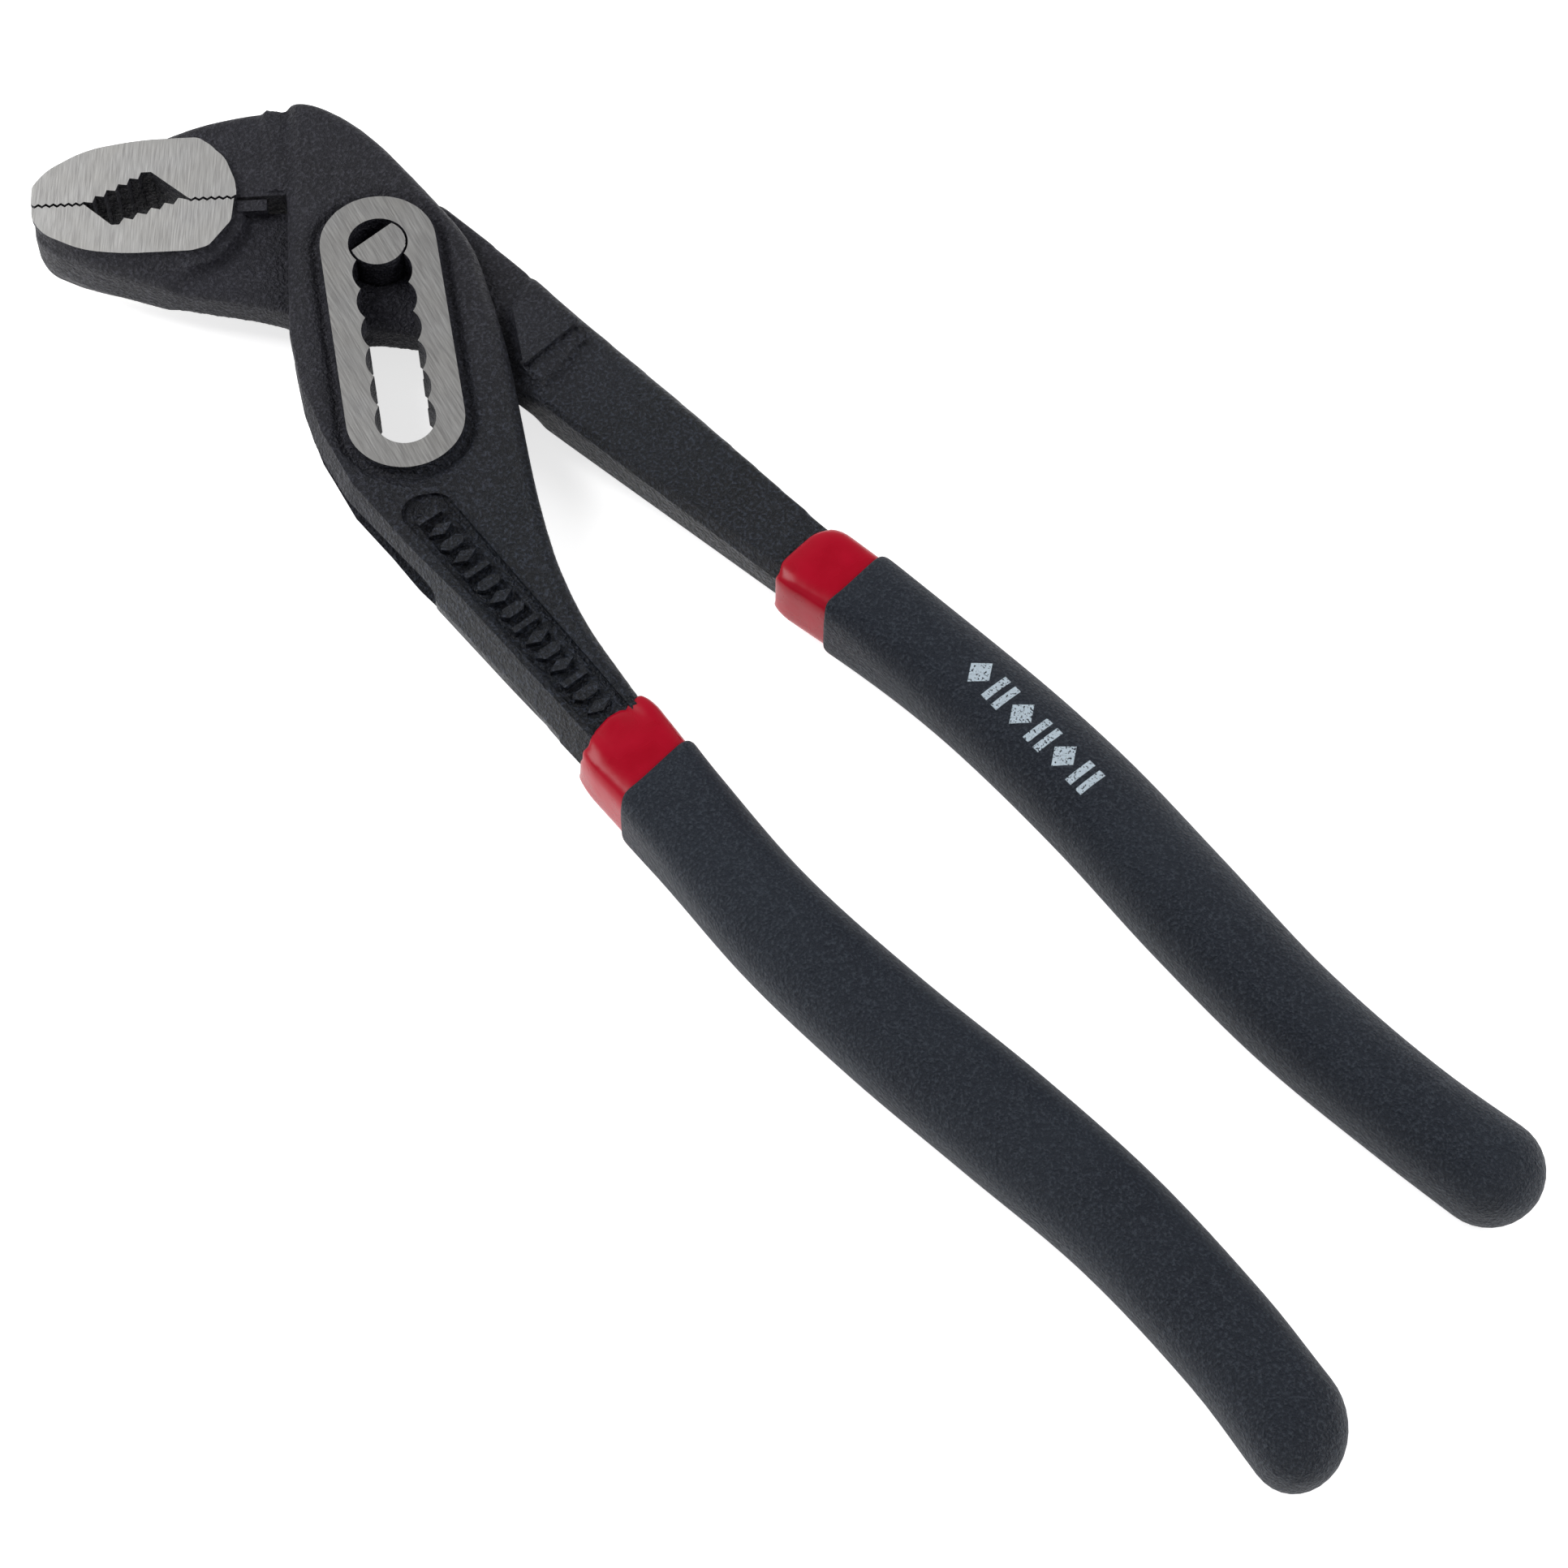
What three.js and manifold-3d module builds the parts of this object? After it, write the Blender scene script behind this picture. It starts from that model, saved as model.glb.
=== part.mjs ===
// Tongue and groove pliers, 250 mm size, lying flat.
// Millimetres. The origin is on the pivot axis in the plane the tool rests on, +X runs towards the
// handle ends and +Z is the thickness. The outer lever is the box-joint lever with the upper jaw and the
// lower handle; the inner lever passes through it and carries the lower jaw and the upper handle.
import * as THREE from "three";
import { mergeVertices } from "three/addons/utils/BufferGeometryUtils.js";
import Module from "manifold-3d";

const wasm = await Module();
wasm.setup();

// Thicknesses through the tool, from its rest plane up.
const OVERALL_THICKNESS = 13;
const CHEEK_RELIEF = 1; // the cheeks lie this far below the ground boss faces
const TONGUE_THICKNESS = 4.6;
const TONGUE_CLEARANCE = 0.3; // on each side of the tongue, between the cheeks
const JAW_THICKNESS = 9.4;
const UPPER_JAW_WEB = 7.6;
const LOWER_JAW_WEB = 6.4;
const ROOT_THICKNESS = 9; // of the thicker root of the upper jaw
const SHANK_THICKNESS_HEAD = 6.8;
const SHANK_THICKNESS_GRIP = 8.4;
const NECK_THICKNESS_GRIP = 8.8;
const PAD_THICKNESS = 8.6;

// Pivot pin and the row of seats it can be set to.
const PIN_RADIUS = 3.8;
const PIN_FLAT = 1.4; // distance of the flat from the pin axis
const PIN_FLAT_ANGLE = 84; // direction of the flat, degrees from +X
const BORE_CLEARANCE = 0.1;
const SEAT_CLEARANCE = 0.3;
const SEAT_PITCH = 4.95;
const SEAT_COUNT = 7;
const SLOT_ANGLE = -38; // direction of the row of seats, degrees from +X
const BOSS_WALL = 3.9;

// Jaws. The jaw line points to the tip, JAW_RISE above the pivot axis.
const JAW_ANGLE = 225.4;
const JAW_RISE = 10.6;
const JAW_SETBACK = 6.8; // from the front face of the cheeks to the heel of the jaws
const JAW_GAP = 0.35;
const HEEL_GAP = 0.9;
const ROOF_GAP = 0.35; // from the jaw line to the underside of the upper jaw's web
const HEEL_TEETH_LENGTH = 6.2;
const PIPE_RECESS_LENGTH = 14.3;
const TIP_TEETH_LENGTH = 7.7;
const PIPE_RECESS_DEPTH = 4.7;
const FINE_TOOTH_PITCH = 1.2;
const FINE_TOOTH_DEPTH = 0.45;
const PIPE_TOOTH_PITCH = 2;
const PIPE_TOOTH_DEPTH = 0.6;
const UPPER_JAW_HEIGHT = 10.6;
const LOWER_JAW_HEIGHT = 9;

// Box joint.
const HEAD_FRONT = 13; // front face of the cheeks, along the jaw line
const EYE_RADIUS = 12.9; // round the pin, on the inner lever
const EYE_TOE_RADIUS = 11; // the same towards the slot
const EYE_CLEARANCE = 0.4;
const OPEN_LIMIT = 58; // degrees the inner lever swings before it meets the head
const CHEEK_EDGE = 0.9;
const WINDOW_DROP = 0.6; // from the jaw line to the roof of the window
const ROOT_LENGTH = 3;

// Handles, as stations along X.
const BASE_DIP_START = 74.5;
const BAND_LENGTH = 10; // of the base dip that shows in front of the grip
const OUTER_HANDLE_END = 206;
const INNER_HANDLE_END = 203;
const BASE_DIP_WALL = 0.9;
const GRIP_HALF_THICKNESS = 6.4;
const MOUTH_HALF_THICKNESS = 5.4; // where the steel comes out of the dips
const GRIP_WALL = 0.5;
const DIP_FIT = 0.1;
const END_COVER = 6; // plastic beyond the end of the steel core
const CHANNEL_WIDTH = 5;
const CHANNEL_DEPTH = 0.9;
const CHANNEL_GAP = 3; // from the boss to the channel and from the channel to the dip

const MID = OVERALL_THICKNESS / 2;
const CHEEK_FACE = OVERALL_THICKNESS - CHEEK_RELIEF;
const WINDOW_HALF = TONGUE_THICKNESS / 2 + TONGUE_CLEARANCE;
const TRAVEL = SEAT_PITCH * (SEAT_COUNT - 1);
const SEAT_RADIUS = PIN_RADIUS + SEAT_CLEARANCE;
const BOSS_RADIUS = SEAT_RADIUS + BOSS_WALL;
const JAW_HEEL = HEAD_FRONT + JAW_SETBACK;
const PIPE_RECESS_BACK = JAW_HEEL + HEEL_TEETH_LENGTH;
const PIPE_RECESS_FRONT = PIPE_RECESS_BACK + PIPE_RECESS_LENGTH;
const JAW_REACH = PIPE_RECESS_FRONT + TIP_TEETH_LENGTH;
const GRIP_START = BASE_DIP_START + BAND_LENGTH;
const NECK_END = BASE_DIP_START - DIP_FIT;
const CORE_START = BASE_DIP_START - 4;
const ROUND_STEPS = 40;
const STATION_LENGTH = 9; // between the sections of a handle
const SECTION_SIDES = 20;

const radians = THREE.MathUtils.degToRad;

// A frame at the pivot axis: along its direction, and across it.
function frameAt(degrees, side) {
  const direction = new THREE.Vector2(Math.cos(radians(degrees)), Math.sin(radians(degrees)));
  const across = new THREE.Vector2(-direction.y, direction.x).multiplyScalar(side);
  return (a, c) => [direction.x * a + across.x * c, direction.y * a + across.y * c];
}
const onJaw = frameAt(JAW_ANGLE, -1);
const onSlot = frameAt(SLOT_ANGLE, 1);

// The angle, in the jaw frame's own sense, at which a circle round the pin meets a line along the jaws.
const meetingAngle = (radius, rise) => Math.asin(Math.min(1, rise / radius));

// Solids and booleans.
function solid(geometry) {
  const bare = geometry.index ? geometry.toNonIndexed() : geometry.clone();
  bare.deleteAttribute("normal");
  bare.deleteAttribute("uv");
  const merged = mergeVertices(bare, 1e-4);
  const index = merged.index.array;
  const triangles = [];
  for (let i = 0; i < index.length; i += 3) {
    const [a, b, c] = index.slice(i, i + 3);
    if (a !== b && b !== c && c !== a) triangles.push(a, b, c);
  }
  return new wasm.Manifold(
    new wasm.Mesh({
      numProp: 3,
      vertProperties: new Float32Array(merged.attributes.position.array),
      triVerts: new Uint32Array(triangles),
    }),
  );
}

function joined(...pieces) {
  return pieces.reduce((all, piece) => all.add(piece));
}

function cut(body, ...tools) {
  return tools.reduce((rest, tool) => rest.subtract(tool), body);
}

function mesh(name, shape, material) {
  const data = shape.getMesh();
  const geometry = new THREE.BufferGeometry();
  geometry.setAttribute("position", new THREE.BufferAttribute(new Float32Array(data.vertProperties), 3));
  geometry.setIndex(new THREE.BufferAttribute(new Uint32Array(data.triVerts), 1));
  geometry.computeVertexNormals();
  const result = new THREE.Mesh(geometry, material);
  result.name = name;
  return result;
}

// A closed outline through [x, y, rounding] corners, each rounded by its own radius.
function outline(corners) {
  const shape = new THREE.Shape();
  corners.forEach(([x, y, rounding = 0], i) => {
    const corner = new THREE.Vector2(x, y);
    const before = new THREE.Vector2(...corners.at(i - 1).slice(0, 2));
    const after = new THREE.Vector2(...corners[(i + 1) % corners.length].slice(0, 2));
    const reach = Math.min(rounding, corner.distanceTo(before) / 2, corner.distanceTo(after) / 2);
    const enter = corner.clone().lerp(before, reach / corner.distanceTo(before));
    const leave = corner.clone().lerp(after, reach / corner.distanceTo(after));
    if (i === 0) shape.moveTo(enter.x, enter.y);
    else shape.lineTo(enter.x, enter.y);
    if (reach > 0) shape.quadraticCurveTo(x, y, leave.x, leave.y);
  });
  return shape;
}

// An outline as a slab from one height to another, with an optional chamfer on both faces.
function slab(shape, low, high, chamfer = 0, steps = 3) {
  const geometry = new THREE.ExtrudeGeometry(shape, {
    depth: high - low - 2 * chamfer,
    curveSegments: steps,
    bevelEnabled: chamfer > 0,
    bevelThickness: chamfer,
    bevelSize: chamfer,
    bevelOffset: -chamfer,
    bevelSegments: 1,
  });
  return solid(geometry.translate(0, 0, low + chamfer));
}

function centredSlab(shape, thickness, chamfer = 0) {
  return slab(shape, MID - thickness / 2, MID + thickness / 2, chamfer);
}

function disc([x, y], radius, low, high) {
  const geometry = new THREE.CylinderGeometry(radius, radius, high - low, ROUND_STEPS);
  return solid(geometry.rotateX(Math.PI / 2).translate(x, y, (low + high) / 2));
}

// A long box whose half thickness follows [x, half] stations, seen from the side.
function sideProfile(stations, reach) {
  const top = stations.map(([x, half]) => [x, MID + half]);
  const bottom = stations.map(([x, half]) => [x, MID - half]).reverse();
  const geometry = new THREE.ExtrudeGeometry(outline([...top, ...bottom]), {
    depth: 2 * reach,
    bevelEnabled: false,
  });
  return solid(geometry.rotateX(Math.PI / 2).translate(0, reach, 0));
}

// Points of a row of saw teeth from one point up to another, which it leaves out. The teeth stand to the
// left of the way they run.
function teeth([x0, y0], [x1, y1], pitch, depth) {
  const length = Math.hypot(x1 - x0, y1 - y0);
  const count = Math.max(1, Math.round(length / pitch));
  const [dx, dy] = [(x1 - x0) / count, (y1 - y0) / count];
  const lift = depth / Math.hypot(dx, dy);
  const points = [];
  for (let i = 0; i < count; i += 1) {
    const [x, y] = [x0 + dx * i, y0 + dy * i];
    points.push([x, y]);
    points.push([x + dx / 2 - dy * lift, y + dy / 2 + dx * lift]);
  }
  return points;
}

// The jaw edge in the jaw frame, from the tip to the heel, raised by the offset. The recess goes up on the
// upper jaw and down on the lower one, with its toothed side in front on the upper jaw.
function jawEdge(offset, side) {
  const line = JAW_RISE + offset;
  const apex = side > 0 ? 0.66 : 0.27;
  const apexAt = PIPE_RECESS_FRONT + (PIPE_RECESS_BACK - PIPE_RECESS_FRONT) * apex;
  const front = [PIPE_RECESS_FRONT, line];
  const deep = [apexAt, line + side * PIPE_RECESS_DEPTH];
  const back = [PIPE_RECESS_BACK, line];
  const recess =
    side > 0
      ? [...teeth(front, deep, PIPE_TOOTH_PITCH, PIPE_TOOTH_DEPTH), deep]
      : [front, ...teeth(deep, back, PIPE_TOOTH_PITCH, -PIPE_TOOTH_DEPTH)];
  const heel = [JAW_HEEL, line];
  return [
    ...teeth([JAW_REACH, line], front, FINE_TOOTH_PITCH, FINE_TOOTH_DEPTH),
    ...recess,
    ...teeth(back, heel, FINE_TOOTH_PITCH, FINE_TOOTH_DEPTH),
    heel,
  ];
}

// A cutter through the whole thickness with the jaw edge as one side, reaching past the other side of
// the jaw, away from the jaw that keeps the edge.
function jawCutter(side) {
  const edge = jawEdge((side * JAW_GAP) / 2, side);
  const beyond = JAW_RISE - side * 30;
  const ahead = JAW_REACH + 9;
  const behind = JAW_HEEL - 1;
  const line = edge[0][1];
  const corners = [[ahead, line], ...edge, [behind, line], [behind, beyond], [ahead, beyond]];
  return slab(outline(corners.map(([a, c]) => onJaw(a, c))), -1, OVERALL_THICKNESS + 1);
}

// The slot and its boss follow the row of seats.
function stadium(radius) {
  const shape = new THREE.Shape();
  const turn = radians(SLOT_ANGLE);
  const [endX, endY] = onSlot(TRAVEL, 0);
  shape.absarc(endX, endY, radius, turn - Math.PI / 2, turn + Math.PI / 2, false);
  shape.absarc(0, 0, radius, turn + Math.PI / 2, turn + (3 * Math.PI) / 2, false);
  return shape;
}

function seats() {
  const discs = [];
  for (let i = 0; i < SEAT_COUNT; i += 1) {
    discs.push(disc(onSlot(i * SEAT_PITCH, 0), SEAT_RADIUS, -1, OVERALL_THICKNESS + 1));
  }
  return joined(...discs);
}

// Handles. Each runs along a gentle S, and its section is a rounded oblong. A run gives the values of a
// smooth curve at even steps from the start of the steel core to the end of the handle.
function run(end, values) {
  const step = (end - CORE_START) / (values.length - 1);
  const curve = new THREE.SplineCurve(values.map((y, i) => new THREE.Vector2(CORE_START + i * step, y)));
  return (x) => curve.getPoint(THREE.MathUtils.clamp((x - CORE_START) / (end - CORE_START), 0, 1)).y;
}
const outerCentre = run(OUTER_HANDLE_END, [-32.9, -36.2, -39.7, -41.1, -41.4, -42.2, -45.2, -49.7]);
const innerCentre = run(INNER_HANDLE_END, [2.55, 3.05, 2.5, 0.45, -2.95, -6, -7, -6.6]);
const OUTER_HALF_WIDTHS = [7.3, 6.85, 7.15, 7.4, 7.5, 7.05, 6.85, 7];
const INNER_HALF_WIDTHS = [6.7, 6.35, 6.8, 7.2, 7.3, 6.8, 6.4, 6.7];
const HALF_THICKNESSES = [MOUTH_HALF_THICKNESS, ...Array(7).fill(GRIP_HALF_THICKNESS)];

// A solid of revolution along X, pressed into the handle's section and bent along its centre line.
function handleSolid(centre, start, end, halfWidth, halfThickness, rounding) {
  const steps = 4;
  const profile = [new THREE.Vector2(0, start)];
  const stations = Math.ceil((end - start) / STATION_LENGTH);
  for (let i = 0; i <= stations; i += 1) {
    profile.push(new THREE.Vector2(1, start + ((end - rounding - start) * i) / stations));
  }
  for (let i = 1; i < steps; i += 1) {
    const turn = ((Math.PI / 2) * i) / steps;
    profile.push(new THREE.Vector2(Math.cos(turn), end - rounding + rounding * Math.sin(turn)));
  }
  profile.push(new THREE.Vector2(0, end));
  const geometry = new THREE.LatheGeometry(profile, SECTION_SIDES);
  const place = geometry.attributes.position;
  for (let i = 0; i < place.count; i += 1) {
    const x = place.getY(i);
    const radius = Math.hypot(place.getX(i), place.getZ(i));
    const turn = Math.atan2(place.getZ(i), place.getX(i));
    const across = Math.sign(Math.cos(turn)) * Math.abs(Math.cos(turn)) ** 0.8;
    const up = Math.sign(Math.sin(turn)) * Math.abs(Math.sin(turn)) ** 0.8;
    const y = centre(x) - radius * across * halfWidth(x);
    place.setXYZ(i, x, y, MID + radius * up * halfThickness(x));
  }
  return solid(geometry);
}

// Steel core, red base dip and outer grip of one handle: each is a sleeve on the one inside it.
function handlePieces(centre, end, halfWidths) {
  const halfWidth = run(end, halfWidths);
  const halfThickness = run(end, HALF_THICKNESSES);
  const layer = (shrink, start, reach, rounding) =>
    handleSolid(
      centre,
      start,
      end - reach,
      (x) => halfWidth(x) - shrink,
      (x) => halfThickness(x) - shrink,
      rounding,
    );
  const baseShrink = GRIP_WALL + DIP_FIT;
  const coreShrink = baseShrink + BASE_DIP_WALL + DIP_FIT;
  const baseReach = GRIP_WALL * 2;
  const coreReach = END_COVER;
  const core = layer(coreShrink, CORE_START, coreReach, 4);
  const base = cut(
    layer(baseShrink, BASE_DIP_START, baseReach, 5),
    layer(coreShrink - DIP_FIT, CORE_START, coreReach - DIP_FIT, 4 + DIP_FIT),
  );
  const grip = cut(
    layer(0, GRIP_START, 0, 7),
    layer(baseShrink - DIP_FIT, CORE_START, baseReach - DIP_FIT, 5 + DIP_FIT),
  );
  return { core, base, grip };
}
const outerHandle = handlePieces(outerCentre, OUTER_HANDLE_END, OUTER_HALF_WIDTHS);
const innerHandle = handlePieces(innerCentre, INNER_HANDLE_END, INNER_HALF_WIDTHS);

// Outer lever: two cheeks with a ground boss on each face, the upper jaw in front and the neck behind.
function windowBetweenCheeks() {
  const clear = EYE_RADIUS + EYE_CLEARANCE;
  const roof = JAW_RISE - WINDOW_DROP;
  const turns = [radians(JAW_ANGLE) - meetingAngle(clear, roof), radians(90 + OPEN_LIMIT)];
  const headSide = [0, 0.25, 0.5, 0.75, 1].map((t) => {
    const turn = THREE.MathUtils.lerp(...turns, t);
    return [clear * Math.cos(turn), clear * Math.sin(turn)];
  });
  const stop = frameAt(OPEN_LIMIT, 1);
  const [reachX, reachY] = onSlot(TRAVEL, 0);
  const corners = [
    onJaw(HEAD_FRONT + ROOT_LENGTH, roof),
    ...headSide,
    stop(14, clear),
    [30, clear + 5.6],
    [70, -12],
    [reachX + 33, reachY - 2.9],
    [reachX + 13, reachY - 7.6],
    [reachX + 23.5, reachY - 19],
    [reachX + 10, reachY - 28],
    [-10, -40],
    onJaw(HEAD_FRONT + ROOT_LENGTH, -16),
  ];
  return centredSlab(outline(corners), 2 * WINDOW_HALF);
}

const cheekOutline = [
  [...onJaw(HEAD_FRONT, JAW_RISE + 16.2), 2],
  [...onJaw(HEAD_FRONT - 3.8, JAW_RISE + 15.9), 3],
  [...onJaw(HEAD_FRONT - 8.6, JAW_RISE + 13), 4],
  [...onJaw(-0.2, JAW_RISE + 8.4), 5],
  [...onJaw(-7.6, JAW_RISE - 1.8), 5],
  [...onSlot(1, 13), 4],
  [...onSlot(18, 15.1), 6],
  [...onSlot(TRAVEL + 13, 15.6), 6],
  [53, -20.3, 6],
  [62, -24.4, 6],
  [NECK_END, -27.9],
  [NECK_END, -38.6],
  [47.5, -34.8, 4],
  [24.8, -31.7, 3],
  [...onSlot(TRAVEL, -12.7), 4],
  [...onSlot(18, -13.5), 4],
  [...onJaw(HEAD_FRONT - 0.6, -12.9), 1],
];

function outerLever() {
  const thickness = sideProfile(
    [
      [-70, CHEEK_FACE - MID],
      [38, CHEEK_FACE - MID],
      [BASE_DIP_START, NECK_THICKNESS_GRIP / 2],
      [BASE_DIP_START + 20, NECK_THICKNESS_GRIP / 2],
    ],
    80,
  );
  const cheeks = centredSlab(outline(cheekOutline), 2 * (CHEEK_FACE - MID), CHEEK_EDGE).intersect(thickness);
  const jawTop = [
    [JAW_REACH - 0.2, JAW_RISE + 3.2, 1],
    [JAW_REACH - 2, JAW_RISE + 5.9, 2],
    [JAW_REACH - 7.4, JAW_RISE + 9.3, 3],
    [JAW_REACH - 15, JAW_RISE + UPPER_JAW_HEIGHT, 3],
  ];
  const web = outline(
    [
      [JAW_REACH, JAW_RISE - 2],
      ...jawTop,
      [JAW_HEEL + 5.2, JAW_RISE + UPPER_JAW_HEIGHT + 3.6, 4],
      [HEAD_FRONT + 2, JAW_RISE + 16, 4],
      [HEAD_FRONT - 5, JAW_RISE + 14],
      [HEAD_FRONT - 5, JAW_RISE + ROOF_GAP],
      [JAW_HEEL, JAW_RISE + ROOF_GAP],
      [JAW_HEEL, JAW_RISE - 2],
    ].map(([a, c, r]) => [...onJaw(a, c), r]),
  );
  const root = outline(
    [
      [HEAD_FRONT + ROOT_LENGTH, JAW_RISE + ROOF_GAP + 0.5],
      [HEAD_FRONT + ROOT_LENGTH, JAW_RISE + 15.6, 1],
      [HEAD_FRONT - 3, JAW_RISE + 14],
      [HEAD_FRONT - 3, JAW_RISE + ROOF_GAP + 0.5],
    ].map(([a, c, r]) => [...onJaw(a, c), r]),
  );
  const ground = outline(
    [
      [JAW_REACH, JAW_RISE - 2],
      ...jawTop,
      [JAW_HEEL + 5.4, JAW_RISE + UPPER_JAW_HEIGHT, 1],
      [JAW_HEEL + 3.2, JAW_RISE + UPPER_JAW_HEIGHT - 1.5, 1],
      [JAW_HEEL + 0.3, JAW_RISE + 2.6, 1],
      [JAW_HEEL, JAW_RISE + 1],
      [JAW_HEEL, JAW_RISE - 2],
    ].map(([a, c, r]) => [...onJaw(a, c), r]),
  );
  const jaw = cut(
    joined(
      centredSlab(web, UPPER_JAW_WEB, 0.7),
      centredSlab(root, ROOT_THICKNESS),
      centredSlab(ground, JAW_THICKNESS),
    ),
    jawCutter(1),
  );
  const [bossEndX, bossEndY] = onSlot(TRAVEL + BOSS_RADIUS, 0);
  const channelStart = bossEndX + CHANNEL_GAP;
  const channelEnd = BASE_DIP_START - CHANNEL_GAP;
  const channel = outline([
    [channelStart, bossEndY - 2.4, 2.5],
    [channelStart + 2, bossEndY - 0.3, 2.5],
    [channelEnd, -31.2, 2],
    [channelEnd, -31.2 - CHANNEL_WIDTH, 2],
    [channelStart + 1, bossEndY - 0.3 - CHANNEL_WIDTH, 2.5],
  ]);
  const channelProfile = sideProfile(
    [
      [channelStart - 5, CHEEK_FACE - MID - CHANNEL_DEPTH],
      [BASE_DIP_START, NECK_THICKNESS_GRIP / 2 - CHANNEL_DEPTH],
    ],
    80,
  );
  const channelCut = centredSlab(channel, 2 * OVERALL_THICKNESS).subtract(channelProfile);
  const boss = slab(stadium(BOSS_RADIUS), 0, OVERALL_THICKNESS, 0, 12);
  return cut(joined(cheeks, boss, jaw, outerHandle.core), windowBetweenCheeks(), seats(), channelCut);
}

// Inner lever: lower jaw, thin tongue round the pin, and the shank of the upper handle.
function innerLever() {
  const heelTurn = meetingAngle(EYE_RADIUS, JAW_RISE - HEEL_GAP - 0.4);
  const tongue = outline(
    [
      [...onJaw(JAW_HEEL + 4, JAW_RISE - HEEL_GAP)],
      [...onJaw(EYE_RADIUS * Math.cos(heelTurn), EYE_RADIUS * Math.sin(heelTurn)), 1],
      [...onJaw(-EYE_RADIUS * 0.16, EYE_RADIUS * 0.98)],
      [0, EYE_RADIUS],
      [13, EYE_RADIUS - 0.4],
      [40, 10.2],
      [40, -2.7],
      [27.5, -2.7, 4],
      [17, -4.6, 4],
      [12.5, -5, 2],
      [7.5, -8.6, 2],
      [2.5, -13, 4],
      [-5, -15.1, 4],
      [...onJaw(JAW_HEEL + 9.2, JAW_RISE - 14)],
      [...onJaw(JAW_HEEL + 17.2, JAW_RISE - 10.4)],
      [...onJaw(JAW_HEEL + 17.2, JAW_RISE - 6.6)],
    ],
  );
  const shank = outline(
    [
      [17.6, 12.1],
      [...onSlot(12.4, 16.3), 1],
      [...onSlot(22, 17.2)],
      [...onSlot(26.5, 17.7), 1],
      [34, -2.7],
      [NECK_END, -2.7],
      [NECK_END, 8.2],
      [50, 9.9],
      [26, 11.4],
    ],
  );
  const shankProfile = sideProfile(
    [
      [0, SHANK_THICKNESS_HEAD / 2],
      [34, SHANK_THICKNESS_HEAD / 2],
      [BASE_DIP_START, SHANK_THICKNESS_GRIP / 2],
      [BASE_DIP_START + 20, SHANK_THICKNESS_GRIP / 2],
    ],
    80,
  );
  const pad = outline(
    [
      [...onSlot(12.4, 16.4), 1],
      [29, 8.9, 1],
      [31.2, 6.4, 1],
      [32.2, -1.2, 1],
      [...onSlot(22.6, 17.4), 1],
    ],
  );
  const lowJaw = [
    [JAW_REACH - 0.3, JAW_RISE - 2.2, 1],
    [JAW_REACH - 1.8, JAW_RISE - 5, 2],
    [JAW_REACH - 7.4, JAW_RISE - LOWER_JAW_HEIGHT + 0.9, 3],
    [JAW_REACH - 13, JAW_RISE - LOWER_JAW_HEIGHT, 2],
    [JAW_HEEL + 6, JAW_RISE - LOWER_JAW_HEIGHT, 1],
    [JAW_HEEL + 3.7, JAW_RISE - LOWER_JAW_HEIGHT + 0.7, 1],
    [JAW_HEEL + 0.7, JAW_RISE - 4.2, 1],
  ];
  const web = outline(
    [
      [JAW_REACH - 0.2, JAW_RISE + 2],
      [JAW_REACH - 0.4, JAW_RISE - 4.2, 1],
      [JAW_REACH - 2.6, JAW_RISE - 6.6, 2],
      [JAW_REACH - 8.4, JAW_RISE - 9.8, 2],
      [JAW_HEEL + 9.2, JAW_RISE - 14, 1],
      [JAW_HEEL + 2.2, JAW_RISE - 9, 2],
      [JAW_HEEL, JAW_RISE - 5, 1],
      [JAW_HEEL, JAW_RISE + 2],
    ].map(([a, c, r]) => [...onJaw(a, c), r]),
  );
  const ground = outline(
    [[JAW_REACH - 0.2, JAW_RISE + 2], ...lowJaw, [JAW_HEEL, JAW_RISE + 2]].map(([a, c, r]) => [
      ...onJaw(a, c),
      r,
    ]),
  );
  const jaw = cut(
    joined(centredSlab(web, LOWER_JAW_WEB, 0.6), centredSlab(ground, JAW_THICKNESS)),
    jawCutter(-1),
  );
  const eye = disc([0, 0], EYE_TOE_RADIUS, MID - TONGUE_THICKNESS / 2, MID + TONGUE_THICKNESS / 2);
  const body = joined(
    centredSlab(tongue, TONGUE_THICKNESS),
    eye,
    centredSlab(shank, 2 * OVERALL_THICKNESS).intersect(shankProfile),
    centredSlab(pad, PAD_THICKNESS),
    jaw,
    innerHandle.core,
  );
  return cut(body, disc([0, 0], PIN_RADIUS + BORE_CLEARANCE, -1, OVERALL_THICKNESS + 1));
}

// Pivot pin: round where the inner lever turns on it, with a flat on both ends inside the cheeks.
function pivotPin() {
  const round = disc([0, 0], PIN_RADIUS, 0, OVERALL_THICKNESS);
  const turn = radians(PIN_FLAT_ANGLE);
  const flatCutter = (low, high) =>
    solid(
      new THREE.BoxGeometry(4 * PIN_RADIUS, 2 * PIN_RADIUS, high - low)
        .translate(0, PIN_FLAT + PIN_RADIUS, (low + high) / 2)
        .rotateZ(turn),
    );
  return cut(
    round,
    flatCutter(-1, MID - WINDOW_HALF),
    flatCutter(MID + WINDOW_HALF, OVERALL_THICKNESS + 1),
  );
}

const forgedBlack = new THREE.MeshStandardMaterial({ color: 0x2b2c33, roughness: 0.62, metalness: 0.6 });
const groundSteel = new THREE.MeshStandardMaterial({ color: 0x9a9b9c, roughness: 0.38, metalness: 1 });
const redDip = new THREE.MeshStandardMaterial({ color: 0xb40f2c, roughness: 0.3, metalness: 0 });
const blackDip = new THREE.MeshStandardMaterial({ color: 0x26292f, roughness: 0.7, metalness: 0 });

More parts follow.
